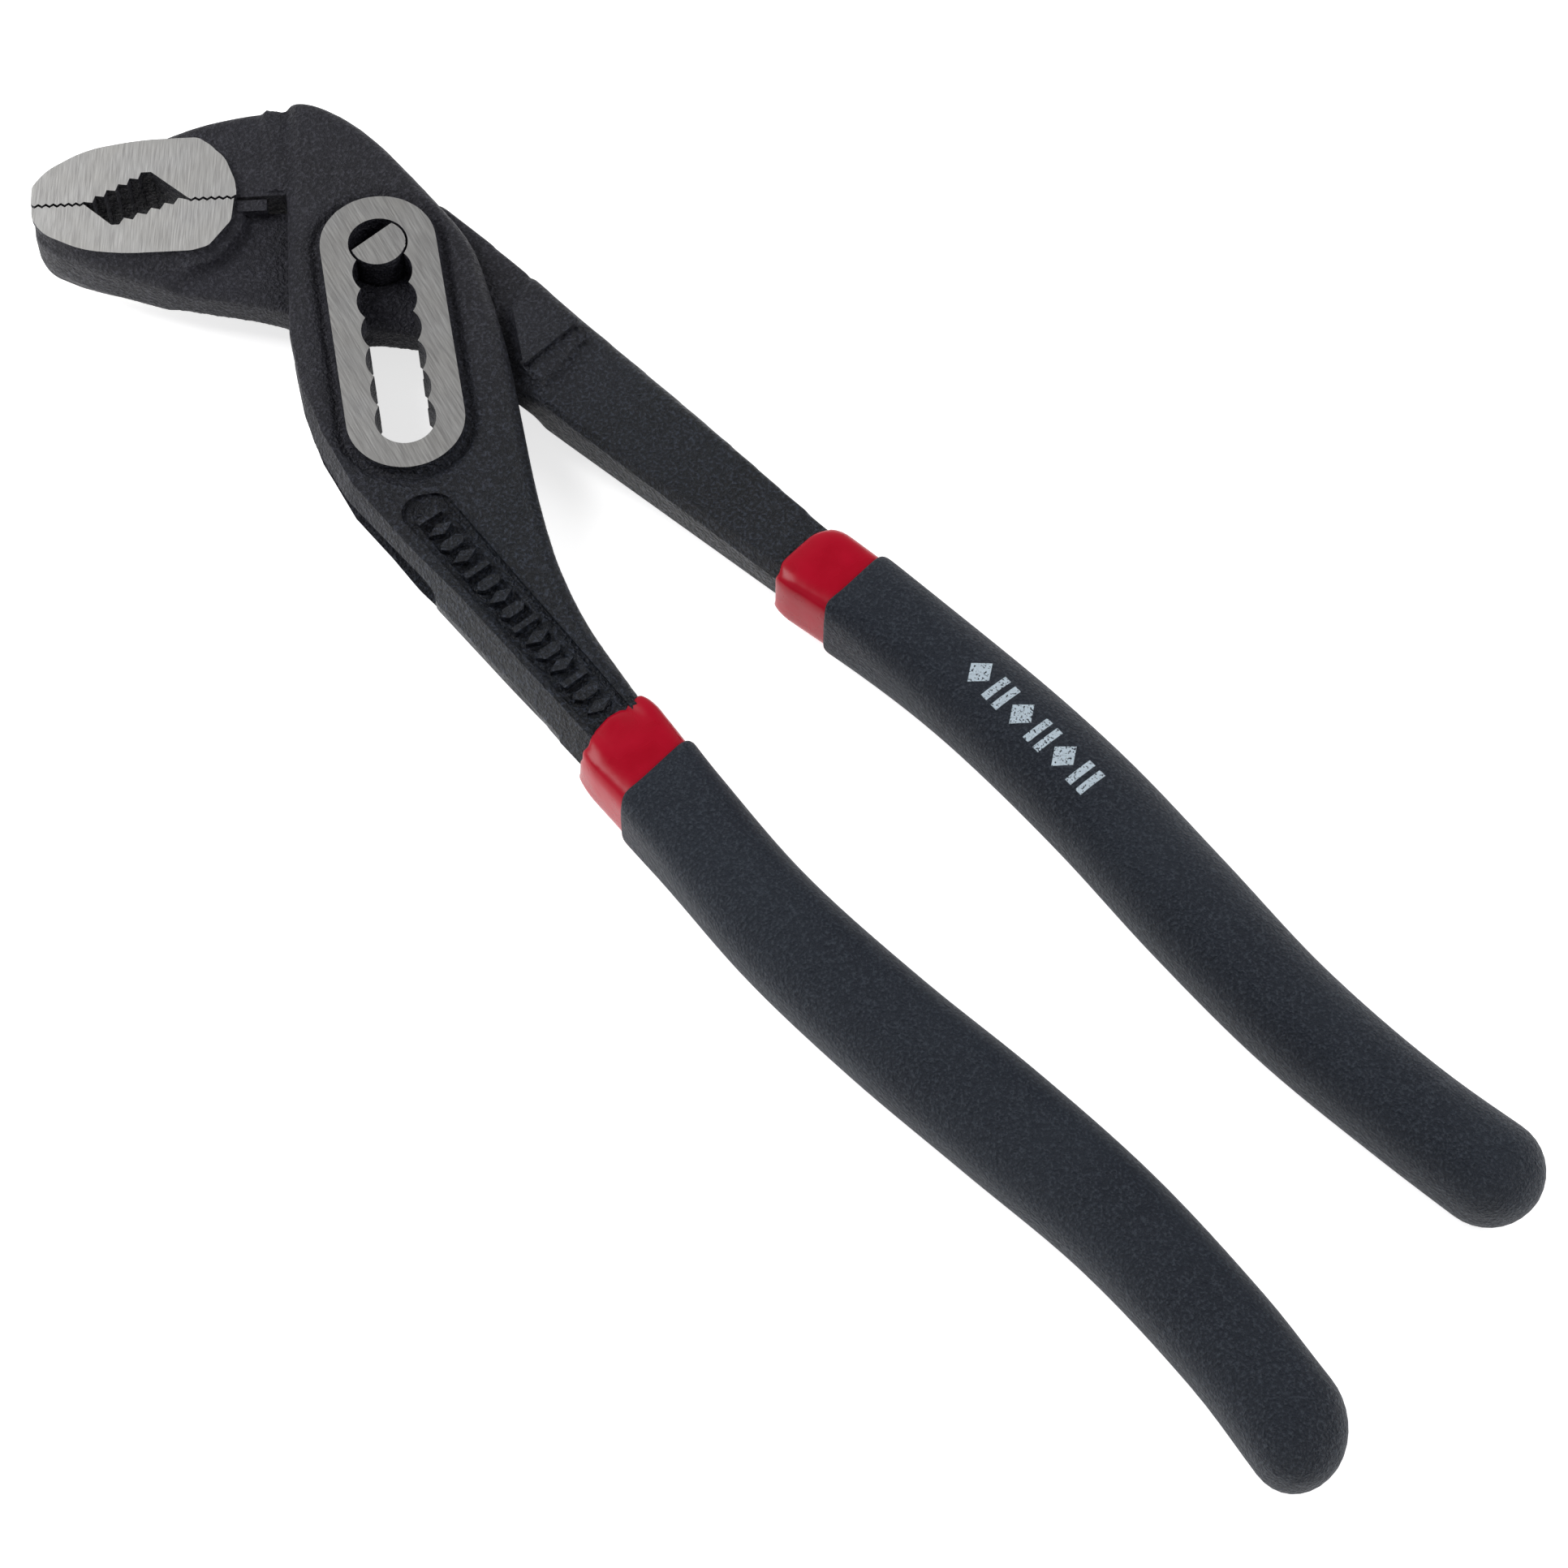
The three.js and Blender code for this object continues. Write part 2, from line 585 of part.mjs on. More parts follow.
const pliers = new THREE.Group();
pliers.add(
  mesh("outer_lever", outerLever(), forgedBlack),
  mesh("inner_lever", innerLever(), forgedBlack),
  mesh("pivot_pin", pivotPin(), groundSteel),
  mesh("outer_grip_base", outerHandle.base, redDip),
  mesh("outer_grip", outerHandle.grip, blackDip),
  mesh("inner_grip_base", innerHandle.base, redDip),
  mesh("inner_grip", innerHandle.grip, blackDip),
);

export default pliers;
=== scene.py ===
# Tongue and groove pliers: the visual model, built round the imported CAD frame. Metres.
import math

import bmesh
import bpy
from mathutils import Matrix, Vector


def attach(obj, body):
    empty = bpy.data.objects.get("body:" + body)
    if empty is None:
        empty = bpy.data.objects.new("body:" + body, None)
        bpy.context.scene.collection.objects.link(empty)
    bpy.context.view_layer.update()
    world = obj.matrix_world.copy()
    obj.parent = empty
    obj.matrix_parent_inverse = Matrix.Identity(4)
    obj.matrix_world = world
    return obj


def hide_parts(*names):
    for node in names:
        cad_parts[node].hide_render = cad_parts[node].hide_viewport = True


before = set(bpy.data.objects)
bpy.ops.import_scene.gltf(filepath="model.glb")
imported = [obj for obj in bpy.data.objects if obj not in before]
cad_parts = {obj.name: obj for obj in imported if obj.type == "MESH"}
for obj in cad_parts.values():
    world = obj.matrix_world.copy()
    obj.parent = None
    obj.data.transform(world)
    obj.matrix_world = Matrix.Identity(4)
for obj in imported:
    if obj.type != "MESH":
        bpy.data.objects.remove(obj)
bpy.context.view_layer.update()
MM = 0.001


# ---------------------------------------------------------------- sizes, in mm
# Thicknesses and heights above the rest plane.
TOP = 13.0
MID = TOP / 2
CHEEK_FACE = 12.0
CHANNEL_DEPTH = 0.65
MOAT_DEPTH, MOAT_WIDTH = 0.8, 1.5
WINDOW_LOW, WINDOW_HIGH = 3.9, 9.1
JAW_LOW, JAW_HIGH = 1.8, 11.2
NECK_HALF, NECK_TAPER_START = 4.4, 38.0
SHANK_ROOT_HALF, SHANK_HALF, SHANK_TAPER_START = 3.4, 4.2, 34.0
PAD_HALF, PAD_STEP_HALF, PAD_ROOT_HALF = 4.8, 3.9, 2.8
RAISE = 0.9  # how far a face stands proud of its finished plane before it is ground

# Pin and seats.
PIN_RADIUS = 3.8
PIN_FLAT = 1.4
PIN_FLAT_TURN = 84
SEAT_RADIUS = 4.1
SEAT_PITCH = 4.95
SEAT_COUNT = 7
SLOT_TURN = -38
BOSS_RADIUS = 8.0

# Jaws.
JAW_TURN = 225.4
JAW_RISE = 10.6
HEAD_FRONT = 13.0
JAW_HEEL = 19.8
JAW_REACH = 48.0
RECESS_BACK, RECESS_FRONT = 26.4, 40.7
UPPER_RECESS = (32.9, 31.5, 4.7)  # where its flat starts and ends, and its depth
LOWER_RECESS = (36.8, 35.7, 3.8)
JAW_GAP = 0.42
HEEL_GAP, HEEL_HALF = 0.6, 4.0
FINE_TEETH = (1.1, 0.38)  # pitch and depth
PIPE_TEETH = (2, 0.8)

# Handles.
CORE_START = 70.5
CORE_CUT = 86.0  # the forged head ends here, inside the dips, and the plain core goes on
BASE_START = 74.5
CHANNEL_END = 77.0  # the channel, the forged slopes and the tucked steel all end under the dip
SLOPE_END = 80.0
TUCK_END, TUCK_SHARE = 78.0, 0.86
OUTER_MOUTH, INNER_MOUTH = -33.3, 2.75  # the middle of each handle where its dip starts
GRIP_START = 84.5
OUTER_END, INNER_END = 206.0, 203.0
HALF_THICKNESS = 6.4
MOUTH_HALF_THICKNESS = 5.4
GRIP_WALL = 0.5
BASE_WALL = 0.9
FIT = 0.1
OUTER_LINE = [-32.9, -36.2, -39.7, -41.1, -41.4, -42.2, -45.2, -49.7]
INNER_LINE = [2.55, 3.05, 2.5, 0.45, -2.95, -6, -7, -6.6]
OUTER_HALF_WIDTHS = [7.3, 6.85, 7.15, 7.4, 7.5, 7.05, 6.85, 7]
INNER_HALF_WIDTHS = [6.7, 6.35, 6.8, 7.2, 7.3, 6.8, 6.4, 6.7]
HALF_THICKNESSES = [MOUTH_HALF_THICKNESS] + 7 * [HALF_THICKNESS]

FLAT_EXPONENT, ROUND_EXPONENT, ROUNDING_RUN = 0.34, 0.8, 34.0

VOXEL = 0.42
SOFTEN_ROUNDS = 9


def frame_at(degrees, side):
    """Points along a direction through the pivot axis and across it, in mm."""
    turn = math.radians(degrees)
    along = Vector((math.cos(turn), math.sin(turn)))
    across = Vector((-along.y, along.x)) * side
    return lambda a, c: along * a + across * c


on_jaw = frame_at(JAW_TURN, -1)
on_slot = frame_at(SLOT_TURN, 1)
TRAVEL = SEAT_PITCH * (SEAT_COUNT - 1)


# ---------------------------------------------------------------- mesh tools
def piece_from(bm, name, materials=()):
    mesh = bpy.data.meshes.new(name)
    bm.to_mesh(mesh)
    bm.free()
    for material in materials:
        mesh.materials.append(material)
    piece = bpy.data.objects.new(name, mesh)
    bpy.context.scene.collection.objects.link(piece)
    return piece


def prism(corners, low, high, slot=0, segments=4):
    """A closed block over (point, rounding) corners, between two heights."""
    bm = bmesh.new()
    base = bm.faces.new([bm.verts.new((p[0] * MM, p[1] * MM, low * MM)) for p, _ in corners])
    grown = bmesh.ops.extrude_face_region(bm, geom=[base])
    lifted = [v for v in grown["geom"] if isinstance(v, bmesh.types.BMVert)]
    bmesh.ops.translate(bm, verts=lifted, vec=(0, 0, (high - low) * MM))
    bmesh.ops.recalc_face_normals(bm, faces=bm.faces)
    for rounding in sorted({r for _, r in corners if r}):
        spots = [Vector((p[0], p[1])) * MM for p, r in corners if r == rounding]
        uprights = [
            e
            for e in bm.edges
            if (e.verts[0].co.xy - e.verts[1].co.xy).length < 1e-7
            and any((e.verts[0].co.xy - s).length < 1e-6 for s in spots)
        ]
        bmesh.ops.bevel(
            bm, geom=uprights, offset=rounding * MM * 0.5, offset_type="OFFSET",
            affect="EDGES", segments=segments, profile=0.5, material=-1, clamp_overlap=True,
        )
    for face in bm.faces:
        face.material_index = slot
    return bm


def cylinder(centre, radius, low, high, slot=0, segments=72):
    bm = bmesh.new()
    place = Matrix.Translation((centre[0] * MM, centre[1] * MM, (low + high) / 2 * MM))
    bmesh.ops.create_cone(
        bm, cap_ends=True, segments=segments, radius1=radius * MM, radius2=radius * MM,
        depth=(high - low) * MM, matrix=place,
    )
    for face in bm.faces:
        face.material_index = slot
    return bm


def stadium(radius, low, high, slot=0):
    """A block with round ends over the row of seats."""
    bm = bmesh.new()
    for a in (0, TRAVEL):
        centre = on_slot(a, 0)
        place = Matrix.Translation((centre.x * MM, centre.y * MM, (low + high) / 2 * MM))
        bmesh.ops.create_cone(
            bm, cap_ends=True, segments=64, radius1=radius * MM, radius2=radius * MM,
            depth=(high - low) * MM, matrix=place,
        )
    hull = bmesh.ops.convex_hull(bm, input=bm.verts)
    spare = {g for g in hull["geom_interior"] + hull["geom_unused"]}
    bmesh.ops.delete(bm, geom=[g for g in spare if isinstance(g, bmesh.types.BMVert)], context="VERTS")
    inner = [f for f in bm.faces if all(len(e.link_faces) > 2 for e in f.edges)]
    bmesh.ops.delete(bm, geom=inner, context="FACES")
    bmesh.ops.recalc_face_normals(bm, faces=bm.faces)
    for face in bm.faces:
        face.material_index = slot
    return bm


def block(low, high, slot=0):
    """A plain box between two corners, in mm."""
    bm = bmesh.new()
    bmesh.ops.create_cube(bm, size=1)
    low, high = Vector(low) * MM, Vector(high) * MM
    bmesh.ops.scale(bm, vec=high - low, verts=bm.verts)
    bmesh.ops.translate(bm, vec=(low + high) / 2, verts=bm.verts)
    for face in bm.faces:
        face.material_index = slot
    return bm


def settled(piece):
    """The piece with its modifiers made part of its mesh."""
    graph = bpy.context.evaluated_depsgraph_get()
    done = bpy.data.meshes.new_from_object(piece.evaluated_get(graph))
    piece.modifiers.clear()
    old = piece.data
    piece.data = done
    bpy.data.meshes.remove(old)
    return piece


def boolean(piece, operation, shapes):
    """Joins to a piece, or cuts from it, each bmesh in turn."""
    for shape in shapes:
        tool = piece_from(shape, "tool", piece.data.materials)
        step = piece.modifiers.new("step", "BOOLEAN")
        step.operation = operation
        step.solver = "MANIFOLD"
        step.object = tool
        settled(piece)
        bpy.data.objects.remove(tool)
    return piece


def copy_of(node):
    bm = bmesh.new()
    bm.from_mesh(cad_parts[node].data)
    bmesh.ops.remove_doubles(bm, verts=bm.verts, dist=1e-7)
    for face in bm.faces:
        face.material_index = 0
    return bm


def kept_side(bm, x, side):
    """The part of a solid on one side of a plane across X, closed again."""
    cut = bmesh.ops.bisect_plane(
        bm, geom=bm.verts[:] + bm.edges[:] + bm.faces[:], plane_co=(x * MM, 0, 0),
        plane_no=(side, 0, 0), clear_inner=True,
    )
    rim = [g for g in cut["geom_cut"] if isinstance(g, bmesh.types.BMEdge)]
    bmesh.ops.triangle_fill(bm, edges=rim, use_beauty=True)
    bmesh.ops.recalc_face_normals(bm, faces=bm.faces)
    return bm


def merged(bm, others):
    """Adds closed shapes to a bmesh, for a remesh to fuse."""
    for other in others:
        mesh = bpy.data.meshes.new("part")
        other.to_mesh(mesh)
        other.free()
        bm.from_mesh(mesh)
        bpy.data.meshes.remove(mesh)
    return bm


def softened(bm, name, materials):
    """One skin over all the shapes, with every edge rounded as a forging's is."""
    piece = piece_from(bm, name, materials)
    skin = piece.modifiers.new("skin", "REMESH")
    skin.mode = "VOXEL"
    skin.voxel_size = VOXEL * MM
    soft = piece.modifiers.new("soft", "SMOOTH")
    soft.factor = 0.5
    soft.iterations = SOFTEN_ROUNDS
    settled(piece)
    for material in materials:
        if material.name not in piece.data.materials:
            piece.data.materials.append(material)
    return piece


def shaded(piece, sharp=38):
    """Smooth shading, broken at the edges sharper than an angle and between finishes."""
    bm = bmesh.new()
    bm.from_mesh(piece.data)
    limit = math.radians(sharp)
    for face in bm.faces:
        face.smooth = True
    for edge in bm.edges:
        meeting = edge.link_faces
        differ = len(meeting) == 2 and meeting[0].material_index != meeting[1].material_index
        edge.smooth = not (differ or (len(meeting) == 2 and edge.calc_face_angle(0) > limit))
    bm.to_mesh(piece.data)
    bm.free()
    return piece


# ---------------------------------------------------------------- materials
def graph_of(material):
    material.use_nodes = True
    tree = material.node_tree
    return tree, tree.nodes["Principled BSDF"]


def node(tree, kind, **settings):
    made = tree.nodes.new(kind)
    for key, value in settings.items():
        setattr(made, key, value)
    return made


def noise(tree, vector, scale, detail=2.0, roughness=0.5):
    made = node(tree, "ShaderNodeTexNoise")
    made.inputs["Scale"].default_value = scale
    made.inputs["Detail"].default_value = detail
    made.inputs["Roughness"].default_value = roughness
    tree.links.new(vector, made.inputs["Vector"])
    return made.outputs["Fac"]


def spread(tree, value, low, high, to_low=0.0, to_high=1.0):
    made = node(tree, "ShaderNodeMapRange")
    for key, number in (("From Min", low), ("From Max", high), ("To Min", to_low), ("To Max", to_high)):
        made.inputs[key].default_value = number
    tree.links.new(value, made.inputs["Value"])
    return made.outputs["Result"]


def math_node(tree, operation, first, second=None):
    made = node(tree, "ShaderNodeMath", operation=operation)
    for socket, value in zip(made.inputs, (first, second)):
        if value is None:
            continue
        if isinstance(value, (int, float)):
            socket.default_value = value
        else:
            tree.links.new(value, socket)
    return made.outputs[0]


def mixed(tree, mask, first, second):
    made = node(tree, "ShaderNodeMix", data_type="RGBA")
    sockets = [s for s in made.inputs if s.type == "RGBA"]
    for socket, value in zip(sockets, (first, second)):
        if isinstance(value, tuple):
            socket.default_value = (*value, 1)
        else:
            tree.links.new(value, socket)
    tree.links.new(mask, made.inputs[0])
    return next(s for s in made.outputs if s.type == "RGBA")


def grain_group():
    """Fine grain shared by the forged steel and the dipped plastics: a height, and a mask of the grain's
    lighter specks, where glints are painted in.
    """
    group = bpy.data.node_groups.new("surface_grain", "ShaderNodeTree")
    for name, kind, way in (
        ("Vector", "NodeSocketVector", "INPUT"),
        ("Fine scale", "NodeSocketFloat", "INPUT"),
        ("Coarse scale", "NodeSocketFloat", "INPUT"),
        ("Height", "NodeSocketFloat", "OUTPUT"),
        ("Grain glints", "NodeSocketFloat", "OUTPUT"),
    ):
        group.interface.new_socket(name, in_out=way, socket_type=kind)
    enter = group.nodes.new("NodeGroupInput")
    leave = group.nodes.new("NodeGroupOutput")
    fine = noise(group, enter.outputs["Vector"], 1, 3.0, 0.62)
    coarse = noise(group, enter.outputs["Vector"], 1, 2.0, 0.5)
    group.links.new(enter.outputs["Fine scale"], fine.node.inputs["Scale"])
    group.links.new(enter.outputs["Coarse scale"], coarse.node.inputs["Scale"])
    height = math_node(group, "ADD", fine, math_node(group, "MULTIPLY", coarse, 0.8))
    group.links.new(height, leave.inputs["Height"])
    # The grain's lighter specks: painted glints.
    group.links.new(spread(group, fine, 0.49, 0.66), leave.inputs["Grain glints"])
    return group


GRAIN = grain_group()


def grained(tree, fine, coarse):
    place = node(tree, "ShaderNodeTexCoord")
    grain = node(tree, "ShaderNodeGroup", node_tree=GRAIN)
    grain.inputs["Fine scale"].default_value = fine
    grain.inputs["Coarse scale"].default_value = coarse
    tree.links.new(place.outputs["Object"], grain.inputs["Vector"])
    return place.outputs["Object"], grain.outputs["Height"], grain.outputs["Grain glints"]


def bumped(tree, shader, height, strength, distance):
    bump = node(tree, "ShaderNodeBump")
    bump.inputs["Strength"].default_value = strength
    bump.inputs["Distance"].default_value = distance
    tree.links.new(height, bump.inputs["Height"])
    tree.links.new(bump.outputs["Normal"], shader.inputs["Normal"])


def forged_black():
    material = bpy.data.materials.new("forged_black")
    tree, shader = graph_of(material)
    where, height, grain_glint_flecks = grained(tree, 2200, 900)
    split = node(tree, "ShaderNodeSeparateXYZ")
    tree.links.new(where, split.inputs[0])
    patches = spread(tree, noise(tree, where, 90, 3.0), 0.35, 0.65)
    # Darker towards the neck, away from the head: painted shade for the light falling off there. The same
    # mask also makes the neck a little glossier.
    neck = spread(tree, split.outputs["X"], 0.012, 0.045)
    dull = mixed(tree, patches, (0.007, 0.007, 0.011), (0.012, 0.012, 0.018))
    deep = mixed(tree, patches, (0.001, 0.002, 0.004), (0.003, 0.005, 0.009))
    ground = mixed(tree, neck, dull, deep)
    # A lighter tone on the grain's specks: painted glints, a little darker towards the neck.
    glint_tone = mixed(tree, neck, (0.040, 0.040, 0.052), (0.030, 0.037, 0.054))
    tree.links.new(mixed(tree, grain_glint_flecks, ground, glint_tone), shader.inputs["Base Color"])
    worn = spread(tree, height, 0.5, 1.3, 0.60, 0.42)
    polish = math_node(tree, "MULTIPLY", neck, 0.14)
    tree.links.new(math_node(tree, "SUBTRACT", worn, polish), shader.inputs["Roughness"])
    shader.inputs["Specular IOR Level"].default_value = 0.3
    bumped(tree, shader, height, 1.0, 0.0007)
    return material


def ground_steel(name, tone, turn):
    """Bright steel with the fine parallel lines of a surface grinder, run at one angle."""
    material = bpy.data.materials.new(name)
    tree, shader = graph_of(material)
    place = node(tree, "ShaderNodeTexCoord")
    turned = node(tree, "ShaderNodeMapping")
    turned.inputs["Rotation"].default_value = (0, 0, math.radians(turn))
    stretched = node(tree, "ShaderNodeMapping")
    stretched.inputs["Scale"].default_value = (260, 5200, 900)
    tree.links.new(place.outputs["Object"], turned.inputs["Vector"])
    tree.links.new(turned.outputs["Vector"], stretched.inputs["Vector"])
    lines = noise(tree, stretched.outputs["Vector"], 1, 3.0, 0.6)
    clouds = spread(tree, noise(tree, place.outputs["Object"], 160, 3.0), 0.3, 0.7)
    dark = tuple(c * tone for c in (0.88, 0.87, 0.86))
    light = tuple(c * tone for c in (1.10, 1.10, 1.08))
    tinted = mixed(tree, spread(tree, lines, 0.35, 0.68), dark, light)
    stained = tuple(c * tone for c in (0.86, 0.83, 0.76))
    haze = math_node(tree, "MULTIPLY", clouds, 0.35)
    tree.links.new(mixed(tree, haze, tinted, stained), shader.inputs["Base Color"])
    tree.links.new(spread(tree, lines, 0.3, 0.7, 0.38, 0.50), shader.inputs["Roughness"])
    shader.inputs["Metallic"].default_value = 1.0
    bumped(tree, shader, lines, 0.35, 0.00003)
    return material


def red_dip():
    material = bpy.data.materials.new("red_dip")
    tree, shader = graph_of(material)
    place = node(tree, "ShaderNodeTexCoord")
    swell = noise(tree, place.outputs["Object"], 260, 2.0)
    shade = spread(tree, swell, 0.3, 0.7)
    red = mixed(tree, shade, (0.32, 0.0003, 0.011), (0.37, 0.0006, 0.015))
    tree.links.new(red, shader.inputs["Base Color"])
    tree.links.new(spread(tree, swell, 0.3, 0.7, 0.24, 0.32), shader.inputs["Roughness"])
    shader.inputs["Specular IOR Level"].default_value = 0.2
    bumped(tree, shader, swell, 0.25, 0.0004)
    return material


def printed_mark(tree, where):
    """A mask of plain shapes printed in a row on the upper face of the inner grip: lozenges with pairs
    of bars between them, a little worn."""
    start, end = Vector((104.2, 3.1)), Vector((128.2, -0.4))
    turn = -math.atan2(end.y - start.y, end.x - start.x)
    origin = Matrix.Rotation(turn, 2) @ start
    cell, tall = 4.05, 2.15
    placed = node(tree, "ShaderNodeMapping")
    placed.inputs["Scale"].default_value = (1 / MM, 1 / MM, 1 / MM)
    placed.inputs["Rotation"].default_value = (0, 0, turn)
    placed.inputs["Location"].default_value = (-origin.x, -origin.y, 0)
    split = node(tree, "ShaderNodeSeparateXYZ")
    tree.links.new(where, placed.inputs["Vector"])
    tree.links.new(placed.outputs["Vector"], split.inputs[0])
    along, across, height = split.outputs
    count = math_node(tree, "DIVIDE", along, cell)
    index = math_node(tree, "FLOOR", count)
    share = math_node(tree, "SUBTRACT", count, index)
    off_centre = math_node(tree, "ABSOLUTE", math_node(tree, "SUBTRACT", share, 0.5))
    beside = math_node(tree, "MULTIPLY", off_centre, cell)
    above = math_node(tree, "ABSOLUTE", across)
    slant = math_node(tree, "DIVIDE", beside, 1.75)
    slant = math_node(tree, "ADD", slant, math_node(tree, "DIVIDE", above, tall))
    lozenge = spread(tree, slant, 0.97, 1.03, 1, 0)
    bar = math_node(tree, "ABSOLUTE", math_node(tree, "SUBTRACT", beside, 0.95))
    upright = spread(tree, bar, 0.5, 0.56, 1, 0)
    bars = math_node(tree, "MULTIPLY", upright, spread(tree, above, tall - 0.1, tall, 1, 0))
    odd = math_node(tree, "MODULO", index, 2)
    even = math_node(tree, "SUBTRACT", 1, odd)
    lozenges = math_node(tree, "MULTIPLY", lozenge, even)
    shapes = math_node(tree, "ADD", lozenges, math_node(tree, "MULTIPLY", bars, odd))
    length = (end - start).length
    begun = spread(tree, along, 0, 0.1)
    inside = math_node(tree, "MULTIPLY", begun, spread(tree, along, length, length + 0.3, 1, 0))
    on_top = math_node(tree, "MULTIPLY", inside, spread(tree, height, MID, MID + 1))
    ink = spread(tree, noise(tree, where, 3200, 2.0), 0.36, 0.44)
    return math_node(tree, "MULTIPLY", math_node(tree, "MULTIPLY", shapes, on_top), ink)


def black_dip():
    material = bpy.data.materials.new("black_dip")
    tree, shader = graph_of(material)
    where, height, grain_glint_flecks = grained(tree, 2600, 1100)
    broad = spread(tree, noise(tree, where, 60, 2.0), 0.35, 0.65)
    ground = mixed(tree, broad, (0.008, 0.012, 0.021), (0.012, 0.017, 0.027))
    # A lighter tone on the grain's specks: painted glints.
    grain_with_glints = mixed(tree, grain_glint_flecks, ground, (0.034, 0.043, 0.058))
    marked = mixed(tree, printed_mark(tree, where), grain_with_glints, (0.56, 0.66, 0.74))
    tree.links.new(marked, shader.inputs["Base Color"])
    tree.links.new(spread(tree, height, 0.5, 1.3, 0.60, 0.46), shader.inputs["Roughness"])
    shader.inputs["Specular IOR Level"].default_value = 0.26
    bumped(tree, shader, height, 1.0, 0.0007)
    return material


FORGED = forged_black()
BOSS_STEEL = ground_steel("ground_boss", 0.45, 20)
JAW_STEEL = ground_steel("ground_jaw", 0.60, 48)
RED = red_dip()
BLACK = black_dip()
STEELS = (FORGED, BOSS_STEEL, JAW_STEEL)


# ---------------------------------------------------------------- levers
def teeth(start, end, pitch, depth):
    """Saw teeth from one point up to another, which is left out, to the left of the way they run."""
    run = end - start
    count = max(1, round(run.length / pitch))
    step = run / count
    lift = Vector((-step.y, step.x)).normalized() * depth
    points = []
    for i in range(count):
        points += [start + step * i, start + step * (i + 0.5) + lift]
    return points


def jaw_edge(side):
    """The mouth edge of the upper (1) or lower (-1) jaw from its tip to its heel. The side of the recess
    that bites a pipe is toothed, and the other is plain."""
    line = JAW_RISE + side * JAW_GAP / 2
    flat_start, flat_end, depth = UPPER_RECESS if side > 0 else LOWER_RECESS
    front, back = Vector((RECESS_FRONT, line)), Vector((RECESS_BACK, line))
    deep = [Vector((a, line + side * depth)) for a in (flat_start, flat_end)]
    pitch, bite = PIPE_TEETH
    if side > 0:
        recess = teeth(front, deep[0], pitch, bite) + deep
    else:
        recess = [front, deep[0]] + teeth(deep[1], back, pitch, -bite)
    tip, heel = Vector((JAW_REACH, line)), Vector((JAW_HEEL, line))
    return teeth(tip, front, *FINE_TEETH) + recess + teeth(back, heel, *FINE_TEETH) + [heel]


def jaw_broach(side):
    """Cuts the mouth edge of one jaw: teeth, pipe recess and teeth again."""
    edge = jaw_edge(side)
    line = edge[0].y
    beyond = JAW_RISE - side * 30
    ahead, behind = JAW_REACH + 9, JAW_HEEL - 1
    corners = [Vector((ahead, line))] + edge
    corners += [Vector((behind, line)), Vector((behind, beyond)), Vector((ahead, beyond))]
    return prism([(on_jaw(*c), 0) for c in corners], -3, TOP + 3)


def jaw_grind():
    """Two slabs in front of the head that leave the jaw faces flat at their finished heights."""
    start = HEAD_FRONT + 4.2
    corners = [(on_jaw(*spot), 0) for spot in ((start, -40), (75, -40), (75, 50), (start, 50))]
    return [prism(corners, JAW_HIGH, TOP + 6, 2), prism(corners, -6, JAW_LOW, 2)]


def lifted(bm, test, high, low):
    """Raises the faces at the finished heights, so that grinding them leaves a crisp edge."""
    for v in bm.verts:
        if test(v.co) and v.co.z > (high - 0.05) * MM:
            v.co.z += RAISE * MM
        elif test(v.co) and v.co.z < (low + 0.05) * MM:
            v.co.z -= RAISE * MM
    return bm


def tucked(bm, middle):
    """Runs the steel on under the mouth of the dip, a little smaller, in place of its square end."""
    for v in bm.verts:
        if abs(v.co.x - (BASE_START - FIT) * MM) < 1e-5:
            v.co.x = TUCK_END * MM
            v.co.y = (middle + (v.co.y / MM - middle) * TUCK_SHARE) * MM
            v.co.z = (MID + (v.co.z / MM - MID) * TUCK_SHARE) * MM
    return bm


def beyond(co, a):
    """Whether a point lies in front of a line across the jaws."""
    along = on_jaw(1, 0)
    return (co.x * along.x + co.y * along.y) / MM > a


def face_height(x, head, grip, start):
    """Half the thickness of a lever that tapers from the head to the mouth of its dip."""
    share = min(max((x - start) / (BASE_START - start), 0), 1)
    return head + (grip - head) * share


def bridged(rings):
    """A closed solid between two rings of points, in mm."""
    bm = bmesh.new()
    for ring in rings:
        bm.faces.new([bm.verts.new((x * MM, y * MM, z * MM)) for x, y, z in ring])
    bmesh.ops.bridge_loops(bm, edges=bm.edges[:])
    bmesh.ops.recalc_face_normals(bm, faces=bm.faces)
    return bm


def edge_wedge(start, end, widths, drops, halves, side, out=3):
    """A wedge that slopes the edge from one point to another, to the left of the way it runs. It has
    a width, a drop and a half thickness of the lever at each end, and reaches out past the edge."""
    run = (end - start).normalized()
    across = Vector((-run.y, run.x))
    rings = []
    for spot, way, width, drop, half in zip((start, end), (-0.4, 0.4), widths, drops, halves):
        profile = ((-width, half), (out, half - drop * (width + out) / width), (out, half + 1.2))
        ring = []
        for reach, height in profile:
            point = spot + run * way + across * reach
            ring.append((point.x, point.y, MID + side * height))
        rings.append(ring)
    return bridged(rings)


def cheek_half(x):
    return face_height(x, CHEEK_FACE - MID, NECK_HALF, NECK_TAPER_START)


def shank_half(x):
    return face_height(x, SHANK_ROOT_HALF, SHANK_HALF, SHANK_TAPER_START)


